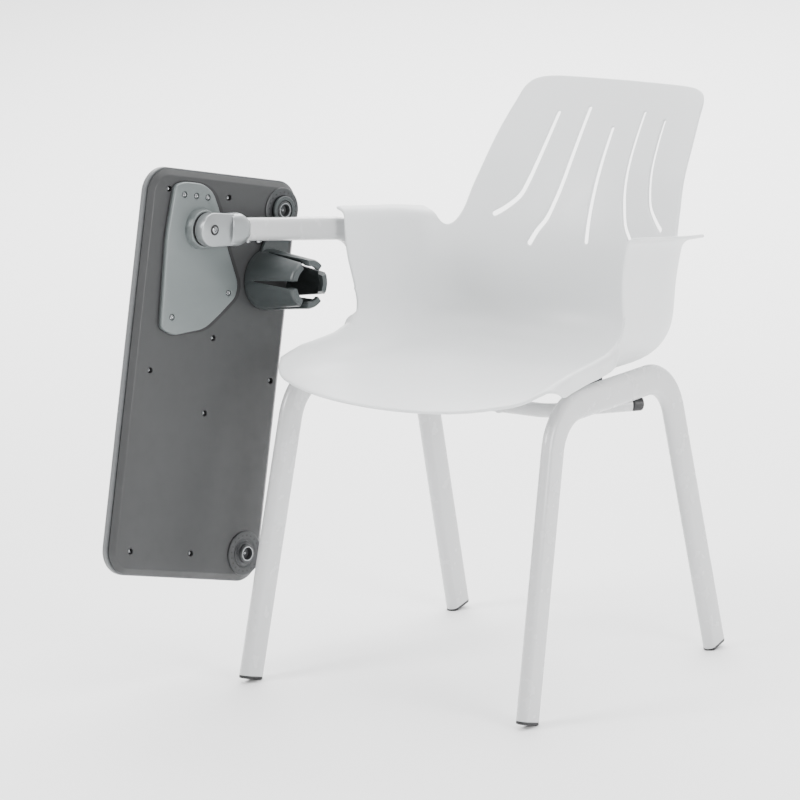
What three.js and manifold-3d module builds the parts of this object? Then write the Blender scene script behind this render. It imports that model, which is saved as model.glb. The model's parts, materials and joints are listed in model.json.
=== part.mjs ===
// Student desk chair: one-piece perforated armchair shell on two bent-tube side frames,
// with a stowed folding writing tablet and its cup holder on the sitter's right.
// Millimetres, +Z up. The chair faces -Y and the sitter's left is +X.
// Everything is laid out from the middle of the four feet; the last lines move the
// origin to the middle of the footprint's bounding box.

import * as THREE from 'three';
import { mergeVertices } from 'three/addons/utils/BufferGeometryUtils.js';
import Module from 'manifold-3d';

const wasm = await Module();
wasm.setup();

// ---------------------------------------------------------------- driving dimensions

const GAP = 0.3;                      // clearance between touching pieces
const FACET_GAP = 1.2;                // clearance under the faceted seat shell

const SHELL = {
  halfWidth: 238,                     // of the walls, at height leanZ
  backY: 277, backRadius: 328,        // wall plan: back arc
  cornerRadius: 150,                  // wall plan: arc between back and arm
  filletLength: 128,                  // arc length of the floor-to-wall sweep
  floorZ: 443, dish: 0.0005,          // seat height and its sideways hollow
  thickness: 5,
  lean: 0.00046, leanZ: 540,          // walls open by this fraction per mm of height
  flare: 0.13, flareDepth: 187,       // extra width of the seat front
  nose: 6, noseY: -130, noseDepth: 125,
  rakeZ: 560, rake: 0.00245, rakeFade: 0.0000022,
  lipRadius: 12, lipAngle: THREE.MathUtils.degToRad(80),
};

const FRAME = {
  width: 45, depth: 20, wall: 1.8,    // flat oval tube
  railZ: 440.5,                       // middle of the seat rail
  kneeY: 152.8, footY: 262.6,         // where leg and rail lines meet; leg line at the floor
  bend: 74,                           // bend radius of the middle line
  planeX: 241, toeY: -0.0235, leanZ: -0.031,
  footRise: 3.6, capThickness: 4.6, capInsert: 18,
};

const BAR = {                         // U-shaped support bar under the seat
  diameter: 21.3, wall: 2, z: 407, frontY: -27,
  cornerX: 133, endX: 221, endY: 90, bend: 40, plug: 18,
};

const ARM = {                         // tube that carries the tablet
  height: 35, depth: 20, wall: 1.8,
  corner: 300,                        // from the pivot to the bend's corner, along the tube
  bend: 42,
  footX: -249.5, footY: 76, footZ: 436,
  boltZ: [428, 452], boltRadius: 4, headStandoff: 2.6,
};

const PIVOT = new THREE.Vector3(-324.5, -233.5, 668.5);
const TABLET_YAW = THREE.MathUtils.degToRad(10);      // the tablet turns out from the seat
const TABLET_TILT = THREE.MathUtils.degToRad(2.3);    // its top leans outward
const TABLET_ROLL = THREE.MathUtils.degToRad(12.6);   // it hangs nose-up in its own plane
const ARM_ROLL = THREE.MathUtils.degToRad(5.1);       // the arm tube, seen in that plane

const TABLET = {
  left: -100.5, right: 204.2, bottom: -517, top: 83, corner: 38,
  underside: -26, seam: -34.3, face: -46, bevel: 10, wall: 2.5,
};

const KNUCKLE = {
  radius: 25, back: -4.4, front: 12.5,
  ballX: 51, ballRadius: 25, ballHalfDepth: 15, shaftRadius: 7, boreEnd: 28,
};

const CUP = {
  a: 151, b: -64, collarRadius: 46, tipRadius: 37, wall: 4,
  base: -25, tip: 69, hook: 8, fingers: 5, firstFinger: 7, slitBase: -8, slitWidth: 13,
};

const DIAL = { a: 167, top: 41, bottom: -475, radius: 33.5, hub: 14, rise: 1.6, hubRise: 8 };

// ---------------------------------------------------------------- materials

const COLOURS = {
  shell: [0xdcdfe0, 0.45, 0], frame: [0xcfd1d3, 0.38, 0.1], black: [0x161616, 0.6, 0],
  steel: [0xc4c6c8, 0.3, 0.9], casting: [0xb4b8ba, 0.42, 0.5], plate: [0x8f9596, 0.5, 0.4],
  cover: [0x5d6263, 0.6, 0], top: [0x6f7475, 0.5, 0], cup: [0x454c4c, 0.6, 0],
};

function material(name) {
  const [color, roughness, metalness] = COLOURS[name];
  return new THREE.MeshStandardMaterial({ color, roughness, metalness });
}

// ---------------------------------------------------------------- solids and booleans

function welded(geometry) {
  const bare = geometry.clone();
  bare.deleteAttribute('normal');
  bare.deleteAttribute('uv');
  return mergeVertices(bare, 1e-4);
}

function solid(geometry) {
  const merged = welded(geometry);
  const vertProperties = new Float32Array(merged.attributes.position.array);
  const index = merged.index.array;
  const keep = [];
  for (let i = 0; i < index.length; i += 3) {
    const [a, b, c] = [index[i], index[i + 1], index[i + 2]];
    if (a !== b && b !== c && c !== a) keep.push(a, b, c);
  }
  const make = (tris) => new wasm.Manifold(
    new wasm.Mesh({ numProp: 3, vertProperties, triVerts: new Uint32Array(tris) }));
  const made = make(keep);
  if (made.volume() > 0) return made;
  const flipped = [];
  for (let i = 0; i < keep.length; i += 3) flipped.push(keep[i], keep[i + 2], keep[i + 1]);
  return make(flipped);
}

function geometryOf(body) {
  const mesh = body.getMesh();
  const geometry = new THREE.BufferGeometry();
  const n = mesh.numProp;
  const xyz = new Float32Array((mesh.vertProperties.length / n) * 3);
  for (let i = 0; i < xyz.length / 3; i++) {
    for (let k = 0; k < 3; k++) xyz[3 * i + k] = mesh.vertProperties[n * i + k];
  }
  geometry.setAttribute('position', new THREE.BufferAttribute(xyz, 3));
  geometry.setIndex(new THREE.BufferAttribute(new Uint32Array(mesh.triVerts), 1));
  geometry.computeVertexNormals();
  return geometry;
}

function join(first, ...rest) {
  let body = solid(first);
  for (const other of rest) body = body.add(solid(other));
  return geometryOf(body);
}

function cut(first, ...tools) {
  let body = solid(first);
  for (const tool of tools) body = body.subtract(solid(tool));
  return geometryOf(body);
}

function cylinder(radius, from, to, sides = 20, endRadius = radius) {
  const geometry = new THREE.CylinderGeometry(endRadius, radius, to - from, sides);
  geometry.rotateX(Math.PI / 2);
  geometry.translate(0, 0, (from + to) / 2);
  return geometry;
}

function box(x0, y0, z0, x1, y1, z1) {
  const geometry = new THREE.BoxGeometry(x1 - x0, y1 - y0, z1 - z0);
  geometry.translate((x0 + x1) / 2, (y0 + y1) / 2, (z0 + z1) / 2);
  return geometry;
}

function extrude(shape, from, to, curveSegments = 8) {
  const geometry = new THREE.ExtrudeGeometry(shape,
    { depth: to - from, bevelEnabled: false, curveSegments });
  geometry.translate(0, 0, from);
  return geometry;
}

// Flat oval: half circles on a rectangle, longer along y.
function ovalPath(Type, width, height) {
  const r = Math.min(width, height) / 2;
  const straight = Math.max(width, height) / 2 - r;
  const path = new Type();
  if (height >= width) {
    path.absarc(0, straight, r, 0, Math.PI, false);
    path.absarc(0, -straight, r, Math.PI, 2 * Math.PI, false);
  } else {
    path.absarc(straight, 0, r, -Math.PI / 2, Math.PI / 2, false);
    path.absarc(-straight, 0, r, Math.PI / 2, 1.5 * Math.PI, false);
  }
  path.closePath();
  return path;
}

function roundRect(Type, x0, y0, x1, y1, r) {
  const path = new Type();
  path.moveTo(x0 + r, y0);
  path.lineTo(x1 - r, y0);
  path.absarc(x1 - r, y0 + r, r, -Math.PI / 2, 0, false);
  path.lineTo(x1, y1 - r);
  path.absarc(x1 - r, y1 - r, r, 0, Math.PI / 2, false);
  path.lineTo(x0 + r, y1);
  path.absarc(x0 + r, y1 - r, r, Math.PI / 2, Math.PI, false);
  path.lineTo(x0, y0 + r);
  path.absarc(x0 + r, y0 + r, r, Math.PI, 1.5 * Math.PI, false);
  path.closePath();
  return path;
}

// Middle line of a bent tube: straight runs take one step, each bend takes a few.
class BentPath extends THREE.Curve {
  constructor(corners, radius, stepsPerBend) {
    super();
    this.stations = [];
    const add = (point, tangent) => this.stations.push({ point, tangent });
    const last = corners.length - 1;
    for (let i = 0; i <= last; i++) {
      const here = corners[i];
      const before = i > 0 ? here.clone().sub(corners[i - 1]).normalize() : null;
      const after = i < last ? corners[i + 1].clone().sub(here).normalize() : null;
      if (!before || !after) {
        add(here.clone(), (before ?? after).clone());
        continue;
      }
      const turn = before.angleTo(after);
      const reach = radius * Math.tan(turn / 2);
      const start = here.clone().addScaledVector(before, -reach);
      const inward = after.clone().addScaledVector(before, -after.dot(before)).normalize();
      for (let k = 0; k <= stepsPerBend; k++) {
        const angle = (turn * k) / stepsPerBend;
        const point = start.clone()
          .addScaledVector(before, radius * Math.sin(angle))
          .addScaledVector(inward, radius * (1 - Math.cos(angle)));
        const tangent = before.clone().multiplyScalar(Math.cos(angle))
          .addScaledVector(inward, Math.sin(angle));
        add(point, tangent);
      }
    }
    this.steps = this.stations.length - 1;
  }

  station(u) { return this.stations[Math.round(u * this.steps)]; }

  getPoint(u) { return this.station(u).point.clone(); }

  getPointAt(u) { return this.getPoint(u); }

  getTangentAt(u) { return this.station(u).tangent.clone(); }

  getSpacedPoints() { return this.stations.map((s) => s.point.clone()); }
}

function tube(path, section, curveSegments = 8) {
  return new THREE.ExtrudeGeometry(section,
    { steps: path.steps, extrudePath: path, bevelEnabled: false, curveSegments });
}

function hollowOval(width, height, wall) {
  const section = ovalPath(THREE.Shape, width, height);
  section.holes.push(ovalPath(THREE.Path, width - 2 * wall, height - 2 * wall));
  return section;
}

function hollowRound(radius, wall) {
  const section = new THREE.Shape();
  section.absarc(0, 0, radius, 0, 2 * Math.PI, false);
  const bore = new THREE.Path();
  bore.absarc(0, 0, radius - wall, 0, 2 * Math.PI, false);
  section.holes.push(bore);
  return section;
}

// Machine screw along +Z with its domed head below z = 0 and its shank above.
function screw(headRadius, headHeight, shankRadius, length, sides = 8) {
  const profile = [[0, -headHeight], [headRadius * 0.7, -headHeight * 0.85], [headRadius, 0],
    [shankRadius, 0],
    [shankRadius, length], [0, length]];
  return new THREE.LatheGeometry(profile.map(([x, y]) => new THREE.Vector2(x, y)), sides)
    .rotateX(Math.PI / 2);
}

// ---------------------------------------------------------------- seat shell surface

// The shell is drawn as a flat blank: (p, q) on the blank, or (c, s) where c runs along the
// wall from the middle of the back and s runs up the wall from the edge of the flat floor.

const FILLET_STEPS = 256;
const fillet = (() => {
  const L = SHELL.filletLength;
  const slope = (t) => (Math.PI / 2) * (3 * t * t - 2 * t * t * t);
  const out = [0];
  const up = [0];
  for (let i = 0; i < FILLET_STEPS; i++) {
    const a = slope((i + 0.5) / FILLET_STEPS);
    out.push(out[i] + (Math.cos(a) * L) / FILLET_STEPS);
    up.push(up[i] + (Math.sin(a) * L) / FILLET_STEPS);
  }
  return { out, up };
})();
const REACH = fillet.out[FILLET_STEPS];

function filletAt(s) {
  const L = SHELL.filletLength;
  if (s >= L) return { out: REACH, up: fillet.up[FILLET_STEPS] + s - L };
  const f = (Math.max(s, 0) / L) * FILLET_STEPS;
  const i = Math.min(Math.floor(f), FILLET_STEPS - 1);
  const mix = (list) => list[i] + (list[i + 1] - list[i]) * (f - i);
  return { out: mix(fillet.out), up: mix(fillet.up) };
}

const PLAN = (() => {
  const cornerX = SHELL.halfWidth - SHELL.cornerRadius;
  const spread = SHELL.backRadius - SHELL.cornerRadius;
  const angle = Math.asin(cornerX / spread);
  const backCentre = SHELL.backY - SHELL.backRadius;
  const cornerY = backCentre + spread * Math.cos(angle);
  const backArc = SHELL.backRadius * angle;
  const cornerArc = SHELL.cornerRadius * (Math.PI / 2 - angle);
  return { cornerX, angle, backCentre, cornerY, cornerStart: backArc, armStart: backArc + cornerArc };
})();
const FLOOR_SIDE = SHELL.halfWidth - REACH;
const FLOOR_CORNER = SHELL.cornerRadius - REACH;
const FLOOR_BACK = SHELL.backRadius - REACH;

const LIP_FROM = 221.8;               // the notch between back and arm, along the wall
const lipStart = (c) => 215 + 0.1335 * (c - 248);
const lipFlat = (c) => 10 + 10 * Math.exp(-Math.max(c - 248, 0) / 45);
const lipEdge = (c) => lipStart(c) + SHELL.lipRadius * SHELL.lipAngle + lipFlat(c);

function blank(c, s, side = 1) {
  if (c < PLAN.cornerStart) {
    const angle = c / SHELL.backRadius;
    const r = FLOOR_BACK + s;
    return [side * r * Math.sin(angle), PLAN.backCentre + r * Math.cos(angle)];
  }
  if (c < PLAN.armStart) {
    const angle = PLAN.angle + (c - PLAN.cornerStart) / SHELL.cornerRadius;
    const r = FLOOR_CORNER + s;
    return [side * (PLAN.cornerX + r * Math.sin(angle)), PLAN.cornerY + r * Math.cos(angle)];
  }
  return [side * (FLOOR_SIDE + s), PLAN.cornerY + PLAN.armStart - c];
}

// Beside the seat the edge rolls over and hangs as a skirt down to the rail.
const SKIRT = { radius: 7, hang: THREE.MathUtils.degToRad(80), straight: 18 };
const SKIRT_FROM = [[416, 112], [430, 91], [446, 80], [483, 72], [560, 64], [596, 56],
  [615, 50], [630, 46], [660, 30]];

function skirtStart(c) {
  const last = SKIRT_FROM.length - 1;
  const i = Math.min(Math.max(SKIRT_FROM.findIndex(([at]) => at > c), 1), last);
  const [[c0, s0], [c1, s1]] = [SKIRT_FROM[i - 1], SKIRT_FROM[i]];
  return s0 + ((s1 - s0) * (THREE.MathUtils.clamp(c, c0, c1) - c0)) / (c1 - c0);
}

function skirtAt(c) {
  const { smoothstep } = THREE.MathUtils;
  const share = smoothstep(c, 418, 450) * (1 - smoothstep(c, 575, 645));
  const start = skirtStart(c);
  const t = start / SHELL.filletLength;
  const slope = (Math.PI / 2) * (3 * t * t - 2 * t * t * t);
  const turn = (slope + SKIRT.hang) * share;
  return { start, slope, turn, length: SKIRT.radius * turn + SKIRT.straight * share * share };
}

const skirtEdge = (c) => skirtStart(c) + skirtAt(c).length;

function wallProfile(c, s) {
  const wall = filletAt(s);
  if (c > SKIRT_FROM[0][0] && s < 135) return skirtProfile(c, s) ?? wall;
  const past = s - lipStart(c);
  if (c < LIP_FROM || past <= 0) return wall;
  const { lipRadius: r, lipAngle: full } = SHELL;
  const start = filletAt(lipStart(c));
  const turn = Math.min(past / r, full);
  const flat = Math.max(past - r * full, 0);
  return {
    out: start.out + r * (1 - Math.cos(turn)) + flat * Math.sin(full),
    up: start.up + r * Math.sin(turn) + flat * Math.cos(full),
  };
}

function skirtProfile(c, s) {
  const { start, slope, turn } = skirtAt(c);
  const past = s - start;
  if (past <= 0 || turn < 1e-6) return null;
  const from = filletAt(start);
  const r = SKIRT.radius;
  const rolled = Math.min(past / r, turn);
  const end = slope - rolled;
  const straight = Math.max(past - r * turn, 0);
  return {
    out: from.out + r * (Math.sin(slope) - Math.sin(end)) + straight * Math.cos(end),
    up: from.up + r * (Math.cos(end) - Math.cos(slope)) + straight * Math.sin(end),
  };
}

function shellPoint(p, q) {
  const side = Math.sign(p) || 1;
  const a = Math.abs(p);
  const cornerAngle = Math.atan2(a - PLAN.cornerX, q - PLAN.cornerY);
  const backAngle = Math.atan2(a, q - PLAN.backCentre);
  let nx = 1;
  let ny = 0;
  let s = a - FLOOR_SIDE;
  let c = PLAN.armStart + PLAN.cornerY - q;
  if (q >= PLAN.cornerY && a > PLAN.cornerX && cornerAngle > PLAN.angle) {
    nx = Math.sin(cornerAngle);
    ny = Math.cos(cornerAngle);
    s = Math.hypot(a - PLAN.cornerX, q - PLAN.cornerY) - FLOOR_CORNER;
    c = PLAN.cornerStart + SHELL.cornerRadius * (cornerAngle - PLAN.angle);
  } else if (q >= PLAN.cornerY) {
    nx = Math.sin(backAngle);
    ny = Math.cos(backAngle);
    s = Math.hypot(a, q - PLAN.backCentre) - FLOOR_BACK;
    c = SHELL.backRadius * backAngle;
  }
  s = Math.max(s, 0);
  const wall = wallProfile(c, s);
  const footX = a - nx * s;
  const footY = q - ny * s;
  let x = footX + nx * wall.out;
  let y = footY + ny * wall.out;
  const hollow = SHELL.dish + 4.8e-7 * Math.max(-q, 0);
  const nose = Math.max((SHELL.noseY - y) / SHELL.noseDepth, 0);
  const across = footX + nx * Math.min(wall.out, REACH) * 0.6;
  const z = SHELL.floorZ + hollow * across * across - SHELL.nose * nose * nose + wall.up;
  const rise = Math.max(z - SHELL.rakeZ, 0);
  y += rise * rise * (SHELL.rake - SHELL.rakeFade * rise);
  const crown = THREE.MathUtils.smoothstep(z, 640, 720) * (1 - Math.exp(-((x / 70) ** 2)));
  y -= 6 * crown;
  x *= 1 + SHELL.lean * (z - SHELL.leanZ);
  x *= 1 + SHELL.flare * (Math.max(-y, 0) / SHELL.flareDepth) ** 2;
  return new THREE.Vector3(side * x, y, z);
}

function shellNormal(p, q) {
  const step = 0.5;
  const along = shellPoint(p + step, q).sub(shellPoint(p - step, q));
  const across = shellPoint(p, q + step).sub(shellPoint(p, q - step));
  return along.cross(across).normalize();
}

// ---------------------------------------------------------------- seat shell outline

// Right half of the outline, from the middle of the top edge round to the seat's side.
const BACK_TOP = [[0, 434], [50, 433.5], [86, 432.6], [108, 431.2], [127, 428], [140, 422],
  [148, 412], [154, 391], [165, 350], [176.5, 300], [187, 265], [197, 232], [207, 216],
  [214, 211], [LIP_FROM, 209.8], [231, 215], [239, 228]];
const LIP_LINE = [247, 258, 275, 300, 330, 370, 410, 434];
const ARM_FRONT = [[445, 265], [448.5, 257], [446, 240], [441, 217], [433, 186], [424, 156],
  [419, 130], [418.5, 116]];
const SKIRT_LINE = [424, 431, 438, 446, 460, 483, 525, 560, 580, 600, 615];

const SEAT_FRONT = { y: -128.6, depth: 124.2, halfWidth: 238.7, power: 2 / 3.4, from: 24 };

function smooth(points, spacing) {
  const curve = new THREE.CatmullRomCurve3(
    points.map(([x, y]) => new THREE.Vector3(x, y, 0)), false, 'centripetal');
  return curve.getSpacedPoints(Math.round(curve.getLength() / spacing)).map((v) => [v.x, v.y]);
}

// Blank position of a point of the seat whose real plan position is (x, y).
function blankUnder(x, y) {
  let low = 0;
  let high = FLOOR_SIDE + SHELL.filletLength;
  for (let i = 0; i < 40; i++) {
    const middle = (low + high) / 2;
    if (shellPoint(middle, y).x < x) low = middle;
    else high = middle;
  }
  return [low, y];
}

function shellOutline(spacing) {
  const lip = LIP_LINE.map((c) => [c, lipEdge(c)]);
  const skirt = SKIRT_LINE.map((c) => [c, skirtEdge(c)]);
  const wall = smooth([...BACK_TOP, ...lip, ...ARM_FRONT, ...skirt], spacing)
    .map(([c, s]) => blank(c, s));
  const front = [];
  const steps = Math.round(330 / spacing);
  for (let i = 0; i < steps; i++) {
    const t = THREE.MathUtils.degToRad(SEAT_FRONT.from + ((90 - SEAT_FRONT.from) * i) / steps);
    front.push(blankUnder(SEAT_FRONT.halfWidth * Math.cos(t) ** SEAT_FRONT.power,
      SEAT_FRONT.y - SEAT_FRONT.depth * Math.sin(t) ** SEAT_FRONT.power));
  }
  const right = [...wall.slice(1), ...front];
  const left = right.map(([p, q]) => [-p, q]).reverse();
  const noseY = SEAT_FRONT.y - SEAT_FRONT.depth;
  const top = blank(0, BACK_TOP[0][1]);
  return [top, ...right, [0, noseY], ...left].map(([p, q]) => new THREE.Vector2(p, q));
}

// Slots in the backrest, outermost first: middle lines on the blank, top to bottom.
const SLOTS = [
  [[87, 382], [91, 348], [97.5, 310], [106, 280], [114.5, 261], [136, 240], [149, 231]],
  [[44.5, 392], [46, 358], [48.2, 325], [52.5, 290], [59, 262], [69.5, 232], [82, 214], [93, 194]],
  [[0, 367], [0, 205]],
];
const SLOT_HALF_TOP = 2.3;
const SLOT_HALF_BOTTOM = 3.3;

function slotLoop(points, side, spacing) {
  const line = points.length > 2 ? smooth(points, spacing) : points;
  const left = [];
  const right = [];
  const last = line.length - 1;
  line.forEach(([c, s], i) => {
    const [c0, s0] = line[Math.max(i - 1, 0)];
    const [c1, s1] = line[Math.min(i + 1, last)];
    const length = Math.hypot(c1 - c0, s1 - s0);
    const half = SLOT_HALF_TOP + ((SLOT_HALF_BOTTOM - SLOT_HALF_TOP) * i) / last;
    const [nc, ns] = [(-(s1 - s0) / length) * half, ((c1 - c0) / length) * half];
    left.push([c + nc, s + ns]);
    right.push([c - nc, s - ns]);
  });
  const cap = (from, to) => {
    const middle = [(from[0] + to[0]) / 2, (from[1] + to[1]) / 2];
    const half = [(from[0] - to[0]) / 2, (from[1] - to[1]) / 2];
    return [45, 90, 135].map((degrees) => {
      const t = THREE.MathUtils.degToRad(-degrees);
      return [middle[0] + half[0] * Math.cos(t) - half[1] * Math.sin(t),
        middle[1] + half[0] * Math.sin(t) + half[1] * Math.cos(t)];
    });
  };
  const loop = [...left, ...cap(left[last], right[last]), ...right.reverse(),
    ...cap(right[last], left[0])];
  return loop.map(([c, s]) => {
    const [p, q] = blank(Math.abs(c), s, side * (Math.sign(c) || 1));
    return new THREE.Vector2(p, q);
  });
}

function seatShell() {
  const prism = (loop) => solid(extrude(new THREE.Shape(loop), -60, 900, 1));
  let pattern = prism(shellOutline(15));
  for (const points of SLOTS) {
    const sides = points.length > 2 ? [1, -1] : [1];
    for (const side of sides) pattern = pattern.subtract(prism(slotLoop(points, side, 24)));
  }
  // A gridded slab, bowed so that no two of its facets are in one plane.
  const BOW = 1 / 1000;
  const HALF = 6;
  const bow = (p, q) => (p * p + q * q) * BOW;
  const columns = gridLines(-464, 464, 29, [368, 376, 384, 392, 400, 408, 416, 424, 432, 440]);
  const rows = gridLines(-262, 660, 30, []);
  const slab = gridSlab(columns, rows, (p, q) => [bow(p, q) - HALF, bow(p, q) + HALF]);
  const geometry = geometryOf(solid(slab).intersect(pattern));
  const position = geometry.attributes.position;
  for (let i = 0; i < position.count; i++) {
    const [p, q, w] = [position.getX(i), position.getY(i), position.getZ(i)];
    const lift = (Math.sign(w - bow(p, q)) * SHELL.thickness) / 2;
    const point = shellPoint(p, q).addScaledVector(shellNormal(p, q), lift);
    position.setXYZ(i, point.x, point.y, point.z);
  }
  geometry.computeVertexNormals();
  return geometry;
}

function gridLines(from, to, step, extra) {
  const lines = [];
  for (let v = from; v <= to; v += step) {
    const crowded = extra.some((e) => Math.abs(Math.abs(v) - e) < 6);
    const within = extra.length && Math.abs(v) > extra[0] && Math.abs(v) < extra.at(-1);
    if (!crowded && !within) lines.push(v);
  }
  for (const e of extra) lines.push(e, -e);
  return lines.sort((a, b) => a - b);
}

function gridSlab(columns, rows, heights) {
  const positions = [];
  const index = [];
  const at = (i, j, k) => (j * columns.length + i) * 2 + k;
  for (const q of rows) {
    for (const p of columns) for (const h of heights(p, q)) positions.push(p, q, h);
  }
  const quad = (a, b, c, d) => index.push(a, b, c, a, c, d);
  const [I, J] = [columns.length - 1, rows.length - 1];
  for (let j = 0; j < J; j++) {
    for (let i = 0; i < I; i++) {
      quad(at(i, j, 1), at(i + 1, j, 1), at(i + 1, j + 1, 1), at(i, j + 1, 1));
      quad(at(i, j, 0), at(i, j + 1, 0), at(i + 1, j + 1, 0), at(i + 1, j, 0));
    }
  }
  for (let i = 0; i < I; i++) {
    quad(at(i, 0, 0), at(i + 1, 0, 0), at(i + 1, 0, 1), at(i, 0, 1));
    quad(at(i + 1, J, 0), at(i, J, 0), at(i, J, 1), at(i + 1, J, 1));
  }
  for (let j = 0; j < J; j++) {
    quad(at(0, j + 1, 0), at(0, j, 0), at(0, j, 1), at(0, j + 1, 1));
    quad(at(I, j, 0), at(I, j + 1, 0), at(I, j + 1, 1), at(I, j, 1));
  }
  const geometry = new THREE.BufferGeometry();
  geometry.setAttribute('position', new THREE.Float32BufferAttribute(positions, 3));
  geometry.setIndex(index);
  return geometry;
}

// Height of the shell's underside over a plan position on the flat part of the floor.
function underside(x, y) {
  const [p, q] = blankUnder(Math.abs(x), y);
  return shellPoint(p, q).z - (SHELL.thickness / 2) / shellNormal(p, q).z;
}

// ---------------------------------------------------------------- side frames and feet

const LEG_SLOPE = (FRAME.footY - FRAME.kneeY) / FRAME.railZ;
const legY = (z) => FRAME.footY - LEG_SLOPE * z;
const LEG_ANGLE = Math.atan(LEG_SLOPE);

function leanFrame(geometry, side) {
  const position = geometry.attributes.position;
  for (let i = 0; i < position.count; i++) {
    const [x, y, z] = [position.getX(i), position.getY(i), position.getZ(i)];
    const plane = FRAME.planeX + FRAME.toeY * y + FRAME.leanZ * z;
    position.setX(i, side * (plane + x));
  }
  if (side < 0) {
    const index = geometry.index.array;
    for (let i = 0; i < index.length; i += 3) [index[i], index[i + 1]] = [index[i + 1], index[i]];
  }
  geometry.computeVertexNormals();
  return geometry;
}

function sideFrame(side) {
  const end = FRAME.footRise + FRAME.capThickness * Math.cos(LEG_ANGLE) + GAP;
  const endY = legY(FRAME.footRise) - FRAME.capThickness * Math.sin(LEG_ANGLE);
  const corners = [
    new THREE.Vector3(0, -endY, end), new THREE.Vector3(0, -FRAME.kneeY, FRAME.railZ),
    new THREE.Vector3(0, FRAME.kneeY, FRAME.railZ), new THREE.Vector3(0, endY, end)];
  const section = hollowOval(FRAME.depth, FRAME.width, FRAME.wall);
  const frame = leanFrame(welded(tube(new BentPath(corners, FRAME.bend, 6), section, 3)), side);
  return side < 0 ? cut(frame, ...armBoltHoles()) : frame;
}

// Rounded end cap with an insert up the tube, trimmed flat where it stands on the floor.
function footCap(side, front) {
  const { depth, width, wall, capThickness, capInsert } = FRAME;
  const bevel = 1.2;
  const cap = new THREE.ExtrudeGeometry(ovalPath(THREE.Shape, depth - 2 * bevel, width - 2 * bevel),
    { depth: capThickness - 2 * bevel, bevelEnabled: true, bevelSize: bevel,
      bevelThickness: bevel, bevelSegments: 1, curveSegments: 3 });
  cap.translate(0, 0, bevel);
  const bore = 2 * (wall + GAP);
  const insert = extrude(ovalPath(THREE.Shape, depth - bore, width - bore), 1, capInsert, 3);
  const piece = welded(join(cap, insert));
  piece.rotateX(front * LEG_ANGLE);
  piece.translate(0, front * legY(FRAME.footRise), FRAME.footRise);
  const trimmed = cut(piece, box(-60, -400, -20, 60, 400, 0));
  return leanFrame(trimmed, side);
}

// ---------------------------------------------------------------- support bar and mounts

const SADDLE = {
  count: 4,
  halfSpacing: 46,                    // of the front pair, from the middle
  alongArm: 62,                       // of the rear pair, from the bar's corner
  length: 34,
  width: 30,
  hole: 3.6,                          // radius of the screw's way through
};
const barEnd = new THREE.Vector3(BAR.endX, BAR.endY, BAR.z);
const barCorner = new THREE.Vector3(BAR.cornerX, BAR.frontY, BAR.z);
const barArm = barEnd.clone().sub(barCorner).normalize();
const mirrorX = (v) => new THREE.Vector3(-v.x, v.y, v.z);

// Where each saddle sits: the front pair on the bar's middle, the rear pair on its arms.
function saddlePlace(index) {
  const side = index % 2 ? 1 : -1;
  if (index < 2) return { x: side * SADDLE.halfSpacing, y: BAR.frontY, turn: 0 };
  const onArm = barCorner.clone().addScaledVector(barArm, SADDLE.alongArm);
  return { x: side * onArm.x, y: onArm.y, turn: side * Math.atan2(barArm.y, barArm.x) };
}

function barPath() {
  const tubeEnd = barEnd.clone().addScaledVector(barArm, -BAR.plug - GAP);
  return new BentPath([mirrorX(tubeEnd), mirrorX(barCorner), barCorner, tubeEnd], BAR.bend, 4);
}

function supportBar() {
  const holes = [0, 1, 2, 3].map((i) => {
    const { x, y } = saddlePlace(i);
    return cylinder(SADDLE.hole, BAR.z - 20, BAR.z + 20, 10).translate(x, y, 0);
  });
  return cut(tube(barPath(), hollowRound(BAR.diameter / 2, BAR.wall), 6), ...holes);
}

function barPlug(side) {
  const r = BAR.diameter / 2;
  const bore = r - BAR.wall - GAP;
  const chamfer = 2.5;
  const profile = [[0, -14], [bore, -14], [bore, GAP], [r - 1, GAP], [r, GAP + 1],
    [r, BAR.plug - chamfer], [r - chamfer, BAR.plug], [0, BAR.plug]];
  const plug = new THREE.LatheGeometry(profile.map(([x, y]) => new THREE.Vector2(x, y)), 12);
  plug.rotateZ(-Math.PI / 2);
  plug.rotateZ(Math.atan2(barArm.y, barArm.x));
  const start = barEnd.clone().addScaledVector(barArm, -BAR.plug);
  plug.translate(start.x, start.y, start.z);
  if (side < 0) plug.scale(-1, 1, 1);
  return geometryOf(solid(plug));
}

// Moulded block between bar and seat: saddle-shaped below, following the seat above.
function saddle(index) {
  const { x, y, turn } = saddlePlace(index);
  const block = new THREE.BoxGeometry(SADDLE.length, SADDLE.width, 1, 4, 2, 1);
  const position = block.attributes.position;
  const [c, s] = [Math.cos(turn), Math.sin(turn)];
  for (let i = 0; i < position.count; i++) {
    const [u, v, w] = [position.getX(i), position.getY(i), position.getZ(i)];
    const [px, py] = [x + u * c - v * s, y + u * s + v * c];
    const z = w > 0 ? underside(px, py) - FACET_GAP : BAR.z + 4;
    position.setXYZ(i, px, py, z);
  }
  const bar = cylinder(BAR.diameter / 2 + GAP + 0.25, -60, 60, 20)
    .rotateY(Math.PI / 2).rotateZ(turn).translate(x, y, BAR.z);
  const hole = cylinder(SADDLE.hole, BAR.z, BAR.z + 26, 10).translate(x, y, 0);
  return cut(block, bar, hole);
}

function shellScrew(index) {
  const { x, y } = saddlePlace(index);
  return screw(6.5, 3.6, 3.2, 34).translate(x, y, BAR.z - BAR.diameter / 2 - GAP);
}

// ---------------------------------------------------------------- tablet arm

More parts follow.
